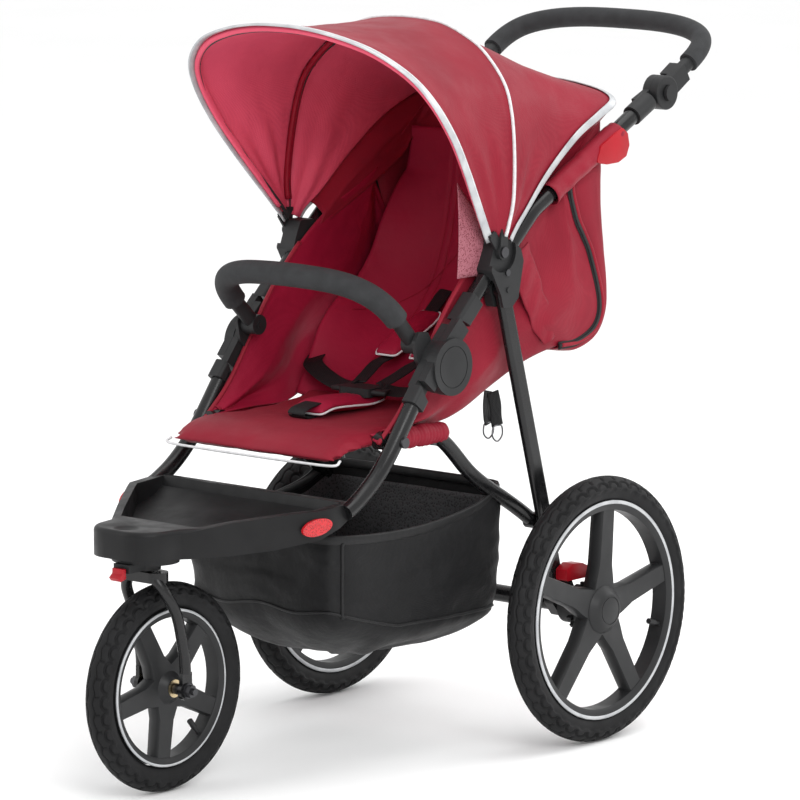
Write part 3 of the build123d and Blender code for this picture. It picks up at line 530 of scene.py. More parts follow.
def tread(theta, phi, blocks):
    """Depth below the crown, 0 to 1, at an angle round the wheel and round the section."""
    t = (theta * blocks / (2 * math.pi)) % 1.0
    a = np.abs(np.degrees(phi))
    t = (t + 0.5 * (phi > 0)) % 1.0
    # zigzag groove each side of the crown, and a cross cut in each block
    zig = 15 + 5 * (2 * np.abs(2 * t - 1) - 1)
    out = np.clip(1.6 - np.abs(a - zig) / 1.9, 0, 1)
    cut = (a > 19) & (a < 40)
    out = np.maximum(out, np.where(cut, np.clip(1.5 - np.abs(t - 0.15) / 0.055, 0, 1), 0))
    # crescents on the shoulder
    y = (a - 44) / 30
    reach = np.hypot((t - 0.5) / 0.42, (y - 0.95) / 0.85)
    crescent = np.clip(1.7 - np.abs(reach - 1.0) / 0.16, 0, 1) * (y > 0) * (y < 1.0)
    out = np.maximum(out, crescent * 0.9)
    # scalloped step at the edge of the tread
    edge = 80 + 4 * np.cos(2 * math.pi * t)
    return np.maximum(out, np.clip((a - edge) / 3, 0, 1) * 0.75)


def tyre(name, node, body, section, seat, blocks, steps=14):
    """Tyre of that section radius, closed where it sits on the rim at the seat radius."""
    lo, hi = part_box(node)
    centre = (lo + hi) / 2
    mid = (hi.z - lo.z) / 2 - section
    around = blocks * steps
    end = math.acos((seat - mid) / section)
    phi = np.concatenate([np.linspace(-end, -CROWN_REACH, 8, endpoint=False),
                          np.linspace(-CROWN_REACH, CROWN_REACH, 58),
                          np.linspace(CROWN_REACH, end, 9)[1:]])
    theta = np.arange(around) * 2 * math.pi / around
    turn, lean = np.meshgrid(theta, phi, indexing="ij")
    reach = section - tread(turn, lean, blocks) * TREAD_DEPTH
    r = mid + reach * np.cos(lean)
    grid = np.stack([centre.x + reach * np.sin(lean), centre.y + r * np.cos(turn),
                     centre.z + r * np.sin(turn)], -1)
    n = len(phi)
    faces = []
    for i in range(around):
        k = (i + 1) % around
        for j in range(n - 1):
            faces.append((i * n + j, i * n + j + 1, k * n + j + 1, k * n + j))
        faces.append((i * n + n - 1, i * n, k * n, k * n + n - 1))
    made = piece(name, grid.reshape(-1, 3), faces, "tyre")
    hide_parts(node)
    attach(made, body)
    return centre


def ring(name, centre, x_off, r, half, body):
    """Flat silver band of that half width on the side of a rim."""
    around = 160
    profile = [(-half, 0.0), (-half * 0.7, 0.0009), (0, 0.0012), (half * 0.7, 0.0009),
               (half, 0.0), (half * 0.6, -0.0022), (-half * 0.6, -0.0022)]
    side = 1 if x_off > 0 else -1
    verts, faces = [], []
    for i in range(around):
        a = 2 * math.pi * i / around
        for dr, dx in profile:
            verts.append((centre.x + x_off + side * dx, centre.y + (r + dr) * math.cos(a),
                          centre.z + (r + dr) * math.sin(a)))
    n = len(profile)
    for i in range(around):
        k = (i + 1) % around
        for j in range(n):
            m = (j + 1) % n
            faces.append((i * n + j, i * n + m, k * n + m, k * n + j))
    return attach(piece(name, verts, faces, "silver"), body)


for side_name, _ in SIDES:
    wheel = f"rear_wheel_{side_name}"
    hub = tyre(f"rear_tread_{side_name}", f"rear_tyre_{side_name}", wheel, section=0.0215,
               seat=0.163, blocks=46)
    ring(f"rear_ring_{side_name}_out", hub, 0.0165, 0.1621, 0.0030, wheel)
    ring(f"rear_ring_{side_name}_in", hub, -0.0165, 0.1621, 0.0030, wheel)
hub = tyre("front_tread", "front_tyre", "front_wheel", section=0.0208, seat=0.113, blocks=36)
for side_name, s in SIDES:
    ring(f"front_ring_{side_name}", hub, s * 0.0150, 0.1119, 0.0026, "front_wheel")


# ---- canopy ------------------------------------------------------------
HINGE = JOINT_AT["canopy_mid_fold"]
FRONT_ANGLE, MID_ANGLE, REAR_ANGLE = 127.0, 85.0, 39.0
# half of each bow from the clip to the middle: across, and out from the hinge
FRONT_RIB = [(202, 24), (204, 40), (216, 105), (226, 160), (234, 225), (230, 290), (210, 340),
             (165, 382), (108, 406), (52, 418), (0, 421)]
MID_RIB = [(214, 24), (218, 40), (224, 80), (220, 147), (210, 205), (192, 247), (151, 289),
           (111, 311), (71, 325), (32, 330), (0, 331)]
REAR_EDGE = [(207, -139, 763), (206, -126, 778), (201, -97, 800), (197, -39, 850),
             (195, 31, 899), (194, 90, 926), (188, 132, 942), (160, 146, 954), (106, 150, 963),
             (52, 151, 967), (0, 151, 968)]
ACROSS = 129
CANOPY_CLOTH = 0.0016


def rib(half, degrees):
    loop = half + [(-x, r) for x, r in half[-2::-1]]
    flat = through([(x * 0.001, r * 0.001, 0) for x, r in loop], ACROSS)
    a = math.radians(degrees)
    return np.stack([flat[:, 0], HINGE.y + flat[:, 1] * math.cos(a),
                     HINGE.z + flat[:, 1] * math.sin(a)], 1)


def both_halves(half, count):
    """Curve through the points of one half and their mirror image."""
    return through([at(*p) for p in half] + [at(-x, y, z) for x, y, z in half[-2::-1]], count)


front_rib, mid_rib = rib(FRONT_RIB, FRONT_ANGLE), rib(MID_RIB, MID_ANGLE)
rear_rib = both_halves(REAR_EDGE, ACROSS)


def canopy_sheet(a, b, sag, seed, rows=37):
    """Cloth between two bows: pulled in a little between them, with slack near the clips."""
    v = np.linspace(0, 1, rows)[None, :, None]
    grid = a[:, None, :] * (1 - v) + b[:, None, :] * v
    n = normals_of(grid)
    centre = np.array([0, HINGE.y, HINGE.z + 0.1])
    if np.sum(n[ACROSS // 2, rows // 2] * (grid[ACROSS // 2, rows // 2] - centre)) < 0:
        n = -n
    v = v[..., 0]
    u = np.linspace(0, 1, ACROSS)[:, None]
    dip = 4 * v * (1 - v)
    ends = np.minimum(u, 1 - u) * 2
    slack = np.exp(-((ends - 0.22) / 0.16) ** 2)
    folds = np.sin(v * math.pi * 5 + 9 * ends) * slack * dip * 0.0022
    rough = ripple((ACROSS, rows), seed, (9, 3), 0.0016) * dip
    stitch = -0.0007 * (np.exp(-((v - 0.055) / 0.012) ** 2) + np.exp(-((v - 0.945) / 0.012) ** 2))
    lift = -sag * dip * (0.35 + 0.65 * np.clip(ends * 1.3, 0, 1)) + folds + rough + stitch
    return grid + n * lift[..., None], n


def bridge(thing, angle_a, angle_b, reach=0.054):
    """Bakes the cloth's placement into its mesh; the direction across the plane halfway between the
    two bodies is worked out but not used.
    """
    half = math.radians((angle_a + angle_b) / 2)
    across = Vector((0, -math.sin(half), math.cos(half))) * reach
    if angle_b < angle_a:
        across = -across
    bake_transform(thing)


front_grid, front_n = canopy_sheet(front_rib, mid_rib, 0.007, 11)
front_cloth = shell("canopy_front_cloth", front_grid, CANOPY_CLOTH, "red", lining="red_inside_painted_light")
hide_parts("canopy_front_panel")
bridge(front_cloth, MID_ANGLE, FRONT_ANGLE)

rear_grid, rear_n = canopy_sheet(mid_rib, rear_rib, 0.009, 12)
rear_cloth = shell("canopy_rear_cloth", rear_grid, CANOPY_CLOTH, "red", lining="red_inside_painted_light")
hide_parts("canopy_rear_panel")
bridge(rear_cloth, REAR_ANGLE, MID_ANGLE)


def hoop_sleeve(name, line, degrees, body, finish):
    """Hem sewn round a bow, on the inside of the cloth."""
    a = math.radians(degrees)
    plane = np.array([0.0, -math.sin(a), math.cos(a)])
    inward = unit(np.cross(np.gradient(line, axis=0), plane))
    middle = np.array([0, HINGE.y, HINGE.z])
    if np.sum(inward[ACROSS // 2] * (middle - line[ACROSS // 2])) < 0:
        inward = -inward
    keep = slice(3, -3)
    made = sweep(name, (line + inward * 0.0062)[keep], 0.0056, 0.0042, finish,
                 normals=inward[keep], square=0.6, sides=14)
    return sewn(made, body)


hoop_sleeve("canopy_front_hem", front_rib, FRONT_ANGLE, "canopy_front", "red_inside_painted_light")
hoop_sleeve("canopy_mid_hem", mid_rib, MID_ANGLE, "canopy_mid", "seam")


def edge_band(name, line, normals, half_w, half_t, lift, body, finish):
    """Tape or piping along an edge, lifted off the cloth."""
    made = sweep(name, line + normals * lift, half_w, half_t, finish, normals=normals,
                 square=0.7, sides=14)
    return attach(made, body)


toward = unit(front_grid[:, 0] - front_grid[:, 1])
edge_band("canopy_front_tape", front_grid[:, 0] + toward * 0.0050, front_n[:, 0], 0.0062, 0.0020,
          0.0, "canopy_front", "silver")
edge_band("canopy_front_piping", front_grid[:, 0] - toward * 0.0012, front_n[:, 0], 0.0014,
          0.0014, 0.0012, "canopy_front", "white")
edge_band("canopy_mid_piping", mid_rib, front_n[:, -1], 0.0026, 0.0024, 0.0012, "canopy_mid",
          "white")
edge_band("canopy_rear_tape", rear_grid[:, -2], rear_n[:, -1], 0.0062, 0.0014, 0.0022,
          "upper_frame", "silver")


# ---- seat, its front piping and its sleeves ----------------------------
SEAT_SIDE = [(-482, 466), (-462, 477), (-436, 487), (-402, 491), (-340, 490), (-270, 490),
             (-215, 495), (-176, 512)]
SEAT_HALF = [164, 169, 171, 171, 160, 153, 149, 146]
SEAT_CROWN, SEAT_CURL = 3.0, 26.0


def seat_surface(across=49, along=73):
    """Middle surface of the seat. Its sides curl up towards the back."""
    line = through([(y, z, w) for (y, z), w in zip(SEAT_SIDE, SEAT_HALF)], along)
    s = np.linspace(-1, 1, across)
    grid = np.zeros((across, along, 3))
    for j, (y, z, w) in enumerate(line):
        rise = SEAT_CURL * max(0.0, (y - SEAT_SIDE[0][0]) / 300 - 0.45) ** 0.7
        grid[:, j, 0] = s * w * 0.001
        grid[:, j, 1] = y * 0.001 + AXLE_Y
        grid[:, j, 2] = (z - SEAT_CROWN * s ** 2 + rise * np.abs(s) ** 5) * 0.001
    return grid


def bake(thing):
    """Replaces the mesh with its evaluated shape."""
    graph = bpy.context.evaluated_depsgraph_get()
    mesh = bpy.data.meshes.new_from_object(thing.evaluated_get(graph))
    old = thing.data
    thing.modifiers.clear()
    thing.data = mesh
    bpy.data.meshes.remove(old)


def puff(thing, cap, voxel=0.006, frames=16, pressure=4.0):
    """Cloth simulation under light air pressure, then a cap on how far a point moves."""
    remesh = thing.modifiers.new("remesh", "REMESH")
    remesh.mode = "VOXEL"
    remesh.voxel_size = voxel
    bake(thing)
    rest = np.array([v.co for v in thing.data.vertices])
    cloth = thing.modifiers.new("cloth", "CLOTH")
    cloth.settings.use_pressure = True
    cloth.settings.uniform_pressure_force = pressure
    cloth.settings.effector_weights.gravity = 0
    cloth.settings.quality = 4
    cloth.point_cache.frame_start = 1
    cloth.point_cache.frame_end = frames
    scene = bpy.context.scene
    for k in range(1, frames + 1):
        scene.frame_set(k)
    bake(thing)
    scene.frame_set(1)
    moved = np.array([v.co for v in thing.data.vertices])
    step = moved - rest
    size = np.linalg.norm(step, axis=1, keepdims=True)
    moved = rest + step * np.minimum(1, cap / np.maximum(size, 1e-9))
    thing.data.vertices.foreach_set("co", moved.astype(np.float32).ravel())
    thing.data.update()
    sub = thing.modifiers.new("smooth", "SUBSURF")
    sub.levels = sub.render_levels = 1
    bake(thing)
    thing.data.polygons.foreach_set("use_smooth", [True] * len(thing.data.polygons))


def gathered_sleeve(name, x, start, end, radius, wrinkle, square_to, body, pulse=0.0):
    """Cloth sleeve round a tube that runs from start to end in the side view. square_to is
    the (y, z) direction square to the tube."""
    around, along = wrinkle.shape
    grid = np.zeros((around, along, 3))
    for j, q in enumerate(np.linspace(0, 1, along)):
        y, z = np.array(start) * (1 - q) + np.array(end) * q
        for i in range(around):
            a = 2 * math.pi * i / around
            r = 1000 * (radius + wrinkle[min(i, around - i), j] + pulse * math.sin(j * 1.9))
            grid[i, j] = at(x + r * math.cos(a), y + r * square_to[0] * math.sin(a),
                            z + r * square_to[1] * math.sin(a))
    return sewn(shell(name, grid, 0.0014, "red", wrap=True), body)


seat_pad = pillow("seat_pad", seat_surface(), 0.0085, 0.0055, "red", power=0.4)
puff(seat_pad, cap=0.006)
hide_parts("seat_cushion")
sewn(seat_pad, "seat")

flap_edge = through([at(x, y, z) for x, y, z in (
    (-165, -468, 472), (-160, -480, 466), (-80, -483.5, 465), (0, -484.5, 465),
    (80, -483.5, 465), (160, -480, 466), (165, -468, 472))], 90)
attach(sweep("seat_piping", flap_edge, 0.0020, 0.0020, "white", sides=10), "seat")

for side_name, s in SIDES:
    gathered_sleeve(f"seat_sleeve_{side_name}", s * 166.5, (-372, 490), (-244, 487.5), 0.0135,
                    ripple((28, 60), 31 + s, (4, 14), 0.0012), (0, 1.12), "seat", pulse=0.0006)
    for k, y in enumerate((-352, -262)):
        snap = rope(f"sleeve_snap_{side_name}_{k}", [at(s * 165, y, z) for z in (474, 471.5, 470)],
                    0.0050, "steel", count=5, sides=16)
        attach(snap, "seat")


# ---- back: a cloth hammock with sewn channels ---------------------------
BACK_LINE = [(-206, 499), (-160, 522), (-104, 556), (-50, 584), (-2, 612), (38, 656), (62, 716),
             (78, 784), (86, 840), (90, 888)]
BACK_ACROSS, BACK_ROWS = 81, 85
CHANNELS = (0.42, 0.50)     # from the middle, as shares of the half width
CROSS_SEAM = 0.62           # share of the way up


def side_curve(points, count):
    return through([(y, z, 0) for y, z in points], count)[:, :2]


def groove(distance, width):
    return np.exp(-(distance / width) ** 2)


def back_surface():
    line = side_curve(BACK_LINE, BACK_ROWS)
    s = np.linspace(-1, 1, BACK_ACROSS)[:, None]
    side = np.abs(s)
    up = np.linspace(0, 1, BACK_ROWS)[None, :]
    half = 147 + 27 * np.clip(up * 2.6, 0, 1)
    wrap_in = (6 + 66 * np.sin(np.clip(up * 1.15, 0, 1) * math.pi) ** 0.8) * side ** 3.5
    channel = -2.4 * (sum(groove(side - c, 0.014) for c in CHANNELS)
                      + groove(up - CROSS_SEAM, 0.008) * (side < CHANNELS[0]))
    puffed = 4.0 * np.cos(s * math.pi * 0.9) ** 2 * np.sin(up * math.pi)
    drape = 5.0 * np.sin(6.0 * s + 9.0 * up) * side * np.sin(up * math.pi)
    rough = ripple((BACK_ACROSS, BACK_ROWS), 41, (4, 5), 4.0)
    out = wrap_in + channel + puffed + drape + rough
    slope = unit(np.gradient(line, axis=0))
    return np.stack([s * half * 0.001,
                     (line[None, :, 0] - out * slope[None, :, 1]) * 0.001 + AXLE_Y,
                     (line[None, :, 1] + out * slope[None, :, 0]) * 0.001], -1)


back_grid = back_surface()
backrest = shell("backrest_cloth", back_grid, 0.006, "red_deep", lining="red_deep")
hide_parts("backrest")
sewn(backrest, "upper_frame")

back_n = normals_of(back_grid)
if back_n[BACK_ACROSS // 2, BACK_ROWS // 2, 1] > 0:
    back_n = -back_n
STITCHES = [(c, c) for c in CHANNELS] + [(-c, -c) for c in CHANNELS] + [(-0.9, -0.2), (0.9, 0.2)]
for k, (start, end) in enumerate(STITCHES):
    span = np.arange(14, 74) if start == end else np.arange(26, 60)
    where = (np.linspace(start, end, len(span)) + 1) / 2 * (BACK_ACROSS - 1)
    columns = np.clip(np.round(where).astype(int), 0, BACK_ACROSS - 1)
    stitch = back_grid[columns, span] + back_n[columns, span] * 0.0034
    sewn(sweep(f"back_stitch_{k}", through(stitch[::4], 60), 0.0007, 0.0005, "seam", sides=6,
               normals=np.tile([0.0, -0.9, 0.4], (60, 1))), "upper_frame")


# ---- side wings: from the side tube down to the seat, and back to the pouch
WING_TOP = [(-392, 488), (-342, 532), (-296, 592), (-254, 652), (-212, 700), (-166, 742),
            (-112, 778), (-50, 806), (0, 831)]
WING_LOW = [(-384, 498), (-310, 500), (-240, 499), (-190, 512), (-130, 544), (-70, 572),
            (-10, 588), (40, 590), (82, 614), (90, 650), (66, 720), (30, 783), (4, 827)]
WING_ALONG, WING_DOWN = 97, 41


def wing_surface():
    """Wing on the left side. It hangs in folds and bellies out below its middle."""
    top, low = side_curve(WING_TOP, WING_ALONG), side_curve(WING_LOW, WING_ALONG)
    t = np.linspace(0, 1, WING_DOWN)[None, :]
    k = np.linspace(0, 1, WING_ALONG)[:, None]
    y = top[:, None, 0] * (1 - t) + low[:, None, 0] * t
    z = top[:, None, 1] * (1 - t) + low[:, None, 1] * t
    belly = 4 * t * (1 - t)
    fan = np.sin(8.5 * k * math.pi + 6 * t) * belly * 7.0 * np.exp(-((k - 0.36) / 0.26) ** 2)
    below = np.clip((t - 0.40) / 0.30, 0, 1)
    rough = ripple((WING_ALONG, WING_DOWN), 51, (6, 3), 5.5) * belly * (0.4 + 0.6 * below)
    x = (171 * (1 - t) + (149 + 41 * np.clip(k * 2.6 - 0.55, 0, 1)) * t
         + (9 * belly + fan) * below + rough - 4 * belly * (1 - below))
    return np.stack([x * 0.001, y * 0.001 + AXLE_Y, z * 0.001], -1)


wing = wing_surface()
for side_name, s in SIDES:
    grid = wing if s > 0 else mirrored(wing)
    made = shell(f"side_wing_{side_name}", grid, 0.0018, "red", lining="red_deep")
    hem_line = (grid if s > 0 else grid[::-1])[:60, 0]
    hem = sweep(f"wing_hem_{side_name}", hem_line, 0.0040, 0.0028, "red", sides=10)
    for thing in (made, hem):
        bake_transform(thing)


# ---- pouch behind the back: its side edges follow the zip ---------------
POUCH_REAR = [(146, 950), (140, 900), (130, 830), (126, 744), (130, 660), (120, 620), (92, 588),
              (44, 575), (0, 584)]
ZIP_LINE = [(62, 880), (20, 838), (32, 783), (50, 752), (68, 720), (91, 650), (81, 612),
            (40, 592), (-6, 590)]
POUCH_AROUND, POUCH_ROWS = 97, 73
POUCH_HALF = 190
zip_line = side_curve(ZIP_LINE, POUCH_ROWS)


def pouch_surface():
    rear = side_curve(POUCH_REAR, POUCH_ROWS)
    angle = np.linspace(-math.pi / 2, math.pi / 2, POUCH_AROUND)[:, None]
    facing = np.cos(angle).clip(0, 1)
    full = facing ** 0.24
    x = np.sign(np.sin(angle)) * np.abs(np.sin(angle)) ** 0.85 * POUCH_HALF
    v = np.linspace(0, 1, POUCH_ROWS)[None, :]
    loose = ripple((POUCH_AROUND, POUCH_ROWS), 61, (6, 4), 6.0) * np.sqrt(facing) * (0.3 + v)
    loose = loose + 2.5 * np.sin(x / 17 + 3 * v) * facing * v
    y = zip_line[None, :, 0] * (1 - full) + (rear[None, :, 0] - 3 + loose) * full
    z = zip_line[None, :, 1] * (1 - full) + rear[None, :, 1] * full
    narrow = 1 - 0.10 * np.clip(1 - v * 5, 0, 1)
    return np.stack([x * 0.001 * narrow, y * 0.001 + AXLE_Y, z * 0.001], -1)


pouch = shell("pouch_cloth", pouch_surface(), 0.0018, "red")
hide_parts("back_pouch")
sewn(pouch, "upper_frame")


# ---- cloth from the canopy's rear edge down to the back and the handle tubes
TUBE_SIDE = [(172, -140, 742), (171, -97, 766), (171, -39, 792), (171, 31, 828), (171, 66, 850),
             (168, 82, 872), (150, 86, 884), (106, 88, 886), (52, 89, 886), (0, 89, 886)]


def top_surface(rows=17):
    high, low = rear_rib[4:-4], both_halves(TUBE_SIDE, ACROSS - 8)
    q = np.linspace(0, 1, rows)[None, :, None]
    grid = high[:, None, :] * (1 - q) + low[:, None, :] * q
    q = q[..., 0]
    inner = np.clip(q * 2.8, 0, 1) ** 0.8
    grid[..., 0] = high[:, None, 0] * (1 - inner) + low[:, None, 0] * inner
    rough = ripple((ACROSS - 8, rows), 66, (8, 2), 0.003) * np.sin(q * math.pi)
    return grid + normals_of(grid) * rough[..., None]


sewn(shell("back_top_cloth", top_surface(), 0.0018, "red", lining="red"), "upper_frame")

# the handle tube in the side view, and the direction square to it
TUBE_LOW, TUBE_TOP, TUBE_SQUARE = (-32.0, 818.6), (126.0, 900.2), (-0.4588, 0.8885)

for side_name, s in SIDES:
    # curved zip with its tape and the welt beside it
    zip3 = np.array([at(s * 191.5, y, z) for y, z in zip_line[11:]])
    outward = np.tile([float(s), 0, 0], (len(zip3), 1))
    sewn(sweep(f"zip_tape_{side_name}", zip3, 0.0060, 0.0010, "webbing", normals=outward,
               square=0.6), "upper_frame")
    sewn(sweep(f"zip_teeth_{side_name}", zip3 + outward * 0.0012, 0.0024, 0.0016, "joint",
               normals=outward, square=0.6), "upper_frame")
    sewn(sweep(f"zip_welt_{side_name}", zip3 + np.array([0, 0.0062, 0.0]) + outward * 0.0012,
               0.0030, 0.0022, "seam", normals=outward, sides=10), "upper_frame")
    gathered_sleeve(f"handle_sleeve_{side_name}", s * 193, TUBE_LOW, TUBE_TOP, 0.0158,
                    ripple((28, 44), 71 + s, (4, 9), 0.0014), TUBE_SQUARE, "upper_frame")

# casing for the recline strap on each side: a gathered band
CASING_TOP, CASING_LOW = np.array([-99.0, 742.0]), np.array([-30.0, 600.0])
for side_name, s in SIDES:
    grid = np.zeros((15, 49, 3))
    for j, q in enumerate(np.linspace(0, 1, 49)):
        y, z = CASING_TOP * (1 - q) + CASING_LOW * q
        gather = 1 - 0.45 * q ** 6
        for i, w in enumerate(np.linspace(-1, 1, 15)):
            edge = 24 * w * gather + 1.4 * math.sin(17 * q + 2.2 * w)
            proud = 3.0 + 2.2 * (1 - w ** 2) + 0.9 * math.sin(26 * q + 3 * w) + 3.0 * q ** 5
            grid[i, j] = at(s * (187 + proud), y + edge * 0.90, z + edge * 0.43)
    sewn(shell(f"wing_casing_{side_name}", grid, 0.0022, "red"), "upper_frame")

# net window between the canopy's front bow and the seat side
grid = np.zeros((21, 21, 3))
for j, q in enumerate(np.linspace(0, 1, 21)):
    for i, w in enumerate(np.linspace(0, 1, 21)):
        grid[i, j] = at(181 + 3 * math.sin(q * math.pi), -228 + 56 * w, 712 + (140 - 60 * w) * q)
sewn(shell("net_window", grid, 0.0010, "red_net"), "canopy_front")


# ---- harness -----------------------------------------------------------
def strap(name, points, width, body, normal=(0, 0, 1), finish="webbing", count=40, thick=0.0011):
    path = through([at(*q) for q in points], count)
    made = sweep(name, path, width / 2, thick, finish, square=0.45, sides=14,
                 normals=np.tile(np.array(normal, float), (count, 1)))
    return sewn(made, body)


def outline_of(grid):
    """The grid's edge as one loop."""
    return np.concatenate([grid[:, 0], grid[-1, 1:], grid[-2::-1, -1], grid[0, -2:0:-1]])


def rounded_pad(name, points, half, body, up=0.010, down=0.005, node=None):
    """Narrow pad along a line of (x, y, z), with piping round its edge."""
    line = through(points, 41)
    grid = np.zeros((21, 41, 3))
    for j, (x, y, z) in enumerate(line):
        narrow = (1 - (2 * j / 40 - 1) ** 6) ** 0.35
        for i, w in enumerate(np.linspace(-1, 1, 21)):
            grid[i, j] = at(x + w * half * (0.72 + 0.28 * narrow), y, z)
    made = pillow(name, grid, up, down, "red_deep", power=0.5)
    if node:
        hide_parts(node)
    puff(made, cap=0.003, voxel=0.003)
    loop = through(outline_of(grid)[::3], 120, closed=True)
    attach(sweep(name + "_piping", loop, 0.0016, 0.0016, "white", sides=8, closed=True), body)
    return sewn(made, body)


rounded_pad("crotch_pad", [(0, -356, 511), (0, -330, 518), (0, -288, 517), (0, -245, 515),
                           (0, -208, 520)], 33, "seat", down=0.006, node="crotch_strap")
strap("crotch_loop", [(0, -340, 508), (0, -368, 506), (0, -377, 513), (0, -368, 520),
                      (0, -340, 525)], 0.034, "seat", normal=(0, -0.4, 0.9))
for side_name, s in SIDES:
    rounded_pad(f"shoulder_pad_{side_name}",
                [(s * 33, -142, 570), (s * 36, -112, 582), (s * 41, -78, 594),
                 (s * 45, -44, 606), (s * 49, -14, 620)], 23, "upper_frame",
                node="shoulder_pads" if s > 0 else None)
    strap(f"shoulder_strap_{side_name}_low",
          [(s * 34, -134, 566), (s * 33, -160, 560), (s * 28, -188, 548), (s * 22, -214, 538)],
          0.025, "seat", normal=(0, -0.4, 0.85))
    strap(f"shoulder_strap_{side_name}_top",
          [(s * 48, -20, 619), (s * 50, -4, 630), (s * 52, 14, 643), (s * 53, 34, 655)],
          0.027, "upper_frame", normal=(0, -0.6, 0.75))
    strap(f"waist_strap_{side_name}",
          [(s * 26, -226, 536), (s * 60, -212, 531), (s * 98, -204, 540), (s * 134, -190, 553),
           (s * 152, -160, 562)], 0.030, "seat", normal=(0, -0.35, 0.9))
    strap(f"buckle_prong_{side_name}",
          [(s * 24, -233, 531), (s * 36, -231, 531), (s * 48, -227, 530)], 0.030, "seat",
          finish="joint", thick=0.0042, count=12)

# hanging strap with its two wire loops, under the back of the seat
strap("hanging_strap_a", [(102, -62, 520), (103, -66, 500), (101, -62, 480), (103, -60, 470)],
      0.024, "upper_frame", normal=(1, 0.2, 0))
strap("hanging_strap_b", [(106, -56, 518), (108, -52, 498), (106, -48, 478), (107, -46, 466)],
      0.022, "upper_frame", normal=(1, -0.2, 0))
for k, (x, y, z) in enumerate(((103, -62, 462), (107, -46, 456))):
    loop = [at(x, y - 10, z + 8), at(x, y - 11, z - 6), at(x, y, z - 14), at(x, y + 11, z - 6),
            at(x, y + 10, z + 8), at(x, y, z + 10)]
    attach(rope(f"strap_loop_{k}", loop, 0.0013, "wire", count=40, closed=True), "upper_frame")


# ---- storage basket ----------------------------------------------------
PLAN = [(0, -464), (90, -464), (132, -458), (147, -438), (156, -380), (164, -300), (169, -220),
        (171, -160), (170, -128), (158, -112), (90, -108), (0, -108)]
BASKET_AROUND, BASKET_LEVELS = 168, 49
BASKET_FRONT, BASKET_LONG, BASKET_MIDDLE = -462, 346, -288
CORNER = (140, -442)        # where the front corner seams run down
WALL_PART = 0.6             # share of the levels that is wall, the rest being floor
FLOOR_LOW = 150

plan = through([(x, y, 0) for x, y in PLAN + [(-x, y) for x, y in PLAN[-2:0:-1]]],
               BASKET_AROUND, closed=True)[:, :2]


def basket_surface(x, y):
    """Sagging bag under a rim, drawn in by the seams at its front corners."""
    along = (y - BASKET_FRONT) / BASKET_LONG
    rim = 352 + 24 * along - 16 * np.sin(np.clip(along, 0, 1) * math.pi) * (np.abs(x) > 100)
    rim = rim + 14 * np.exp(-((y + 112) / 35) ** 2)
    floor = 205 + 34 * np.clip((-330 - y) / 130, 0, 1) ** 1.2 + 4 * np.cos(x / 22)
    x, y, rim, floor = x[:, None], y[:, None], rim[:, None], floor[:, None]
    q = np.linspace(0, 1, BASKET_LEVELS)[None, :]
    wall = np.clip(q / WALL_PART, 0, 1)
    under = np.clip((q - WALL_PART) / (1 - WALL_PART), 0, 1)
    taper = 1 - 0.02 * wall ** 2 - 0.95 * under ** 1.3
    bulge = 0.022 * np.sin(wall * math.pi)
    wave = ripple((BASKET_AROUND, BASKET_LEVELS), 81, (16, 5), 1.0)
    fade = np.linspace(1, 0, 12)[:, None]
    wave[-12:] = wave[-12:] * fade + wave[:1] * (1 - fade)
    turn = np.arange(BASKET_AROUND)[:, None] * 0.22
    drag = np.sin(turn + wall * 4.2) * wall * (1 - 0.5 * under)
    loose = np.sin(np.clip(q / 0.85, 0, 1) * math.pi) ** 0.7
    scale = taper + bulge + (0.022 * wave + 0.010 * drag) * loose
    gx = x * scale
    gy = BASKET_MIDDLE + (y - BASKET_MIDDLE) * scale
    gz = rim + (floor - rim) * wall
    gz = gz - (gz - FLOOR_LOW) * np.sin(under * math.pi / 2) ** 0.9
    gz = gz + 5 * wave * np.sin(under * math.pi)
    for _, s in SIDES:
        near = np.hypot(x - s * CORNER[0], y - CORNER[1])
        pull = np.exp(-(near / 9) ** 2) * np.sin(wall * math.pi) * 6
        gx = gx - s * pull
        gy = gy + pull
    return np.stack([gx * 0.001, gy * 0.001 + AXLE_Y, gz * 0.001], -1)


px, py = plan[:, 0], plan[:, 1]
basket_grid = basket_surface(px, py)
basket = shell("basket_cloth", basket_grid, 0.0018, "black_cloth", wrap=True)
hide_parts("basket")
sewn(basket, "front_frame")

rim_line = basket_grid[:, 0]
rim_n = unit(rim_line - np.array([0, AXLE_Y + BASKET_MIDDLE * 0.001, 0.36]))
sewn(sweep("basket_binding", rim_line, 0.0075, 0.0028, "binding", closed=True, sides=12,
           normals=rim_n * np.array([1, 1, 0]), square=0.7), "front_frame")
for side_name, s in SIDES:
    i = int(np.argmin(np.hypot(px - s * CORNER[0], py - CORNER[1])))
    line = basket_grid[i, 1:30]
    out_n = np.tile(unit(np.array([s * 0.7, -0.7, 0.0])), (len(line), 1))
    sewn(sweep(f"basket_seam_{side_name}", line + out_n * 0.0022, 0.0026, 0.0022, "binding",
               normals=out_n, sides=8), "front_frame")
# seam where the wall meets the floor
low_seam = basket_grid[:, int(WALL_PART * (BASKET_LEVELS - 1))]
sewn(sweep("basket_floor_seam", low_seam + rim_n * 0.0012, 0.0024, 0.0022, "binding",
           closed=True, sides=8, normals=rim_n), "front_frame")
# net lining inside the back part
net_grid = basket_grid[py > -372][:, 3:26]
flat = net_grid - np.array([0, AXLE_Y + BASKET_MIDDLE * 0.001, 0.0])
flat[..., 2] = 0
sewn(shell("basket_net", net_grid - unit(flat) * 0.0030, 0.0008, "grey_net"), "front_frame")


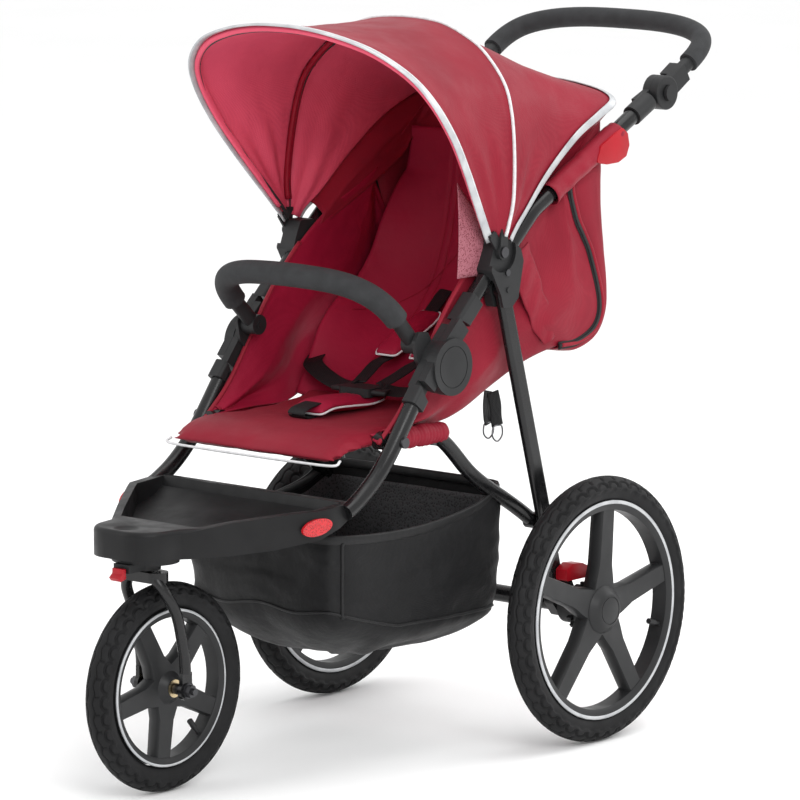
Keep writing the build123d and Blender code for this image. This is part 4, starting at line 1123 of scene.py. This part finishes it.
# ---- camera, light and floor -------------------------------------------
AZIMUTH, ELEVATION = math.radians(40.72), math.radians(8.91)
CAMERA_AIM, CAMERA_AWAY = at(0, -145.19, 505.36), 7.80801
camera_data = bpy.data.cameras.new("camera")
camera_data.sensor_width = 36.0
camera_data.lens = 235.08
camera_data.clip_end = 100
camera = bpy.data.objects.new("camera", camera_data)
bpy.context.scene.collection.objects.link(camera)
back = Vector((math.sin(AZIMUTH) * math.cos(ELEVATION), -math.cos(AZIMUTH) * math.cos(ELEVATION),
               math.sin(ELEVATION)))
camera.location = CAMERA_AIM + back * CAMERA_AWAY
camera.rotation_mode = "QUATERNION"
camera.rotation_quaternion = (-back).to_track_quat("-Z", "Y")
bpy.context.scene.camera = camera


def area_light(name, place, aim_height, size, power):
    data = bpy.data.lights.new(name, "AREA")
    data.shape = "RECTANGLE"
    data.size, data.size_y = size
    data.energy = power
    lamp = bpy.data.objects.new(name, data)
    bpy.context.scene.collection.objects.link(lamp)
    lamp.location = place
    lamp.rotation_mode = "QUATERNION"
    aim = Vector((0, 0, aim_height)) - Vector(place)
    lamp.rotation_quaternion = aim.to_track_quat("-Z", "Y")


area_light("key", (3.2, -2.2, 2.8), 0.6, (2.2, 2.2), 80)
area_light("fill", (-3.0, -3.4, 2.2), 0.5, (3.0, 2.4), 22)
area_light("top", (0.4, 0.6, 4.0), 0.5, (3.2, 3.2), 60)
area_light("rim", (1.6, 3.4, 2.4), 0.7, (2.4, 1.8), 40)

world = bpy.data.worlds.new("studio")
world.use_nodes = True
world.node_tree.nodes["Background"].inputs["Color"].default_value = (1, 1, 1, 1)
world.node_tree.nodes["Background"].inputs["Strength"].default_value = 1.03
bpy.context.scene.world = world
bpy.context.scene.view_settings.view_transform = "Standard"

floor_finish = Finish("studio_floor", rough=0.7, color=(0.93, 0.93, 0.93))
floor_finish.colours(floor_finish.noise(1.5), (0.955, 0.955, 0.955), (0.975, 0.975, 0.975))
MAT["floor"] = floor_finish.m
FLOOR_HALF, FLOOR_DROP = 40.0, 0.0005
away = Vector((-math.sin(AZIMUTH), math.cos(AZIMUTH), 0)) * FLOOR_HALF
aside = Vector((math.cos(AZIMUTH), math.sin(AZIMUTH), 0)) * FLOOR_HALF
down = Vector((0, 0, -FLOOR_DROP))
corners = [down - away - aside, down - away + aside, down + away + aside, down + away - aside]
piece("floor", corners, [(0, 1, 2, 3)], "floor")
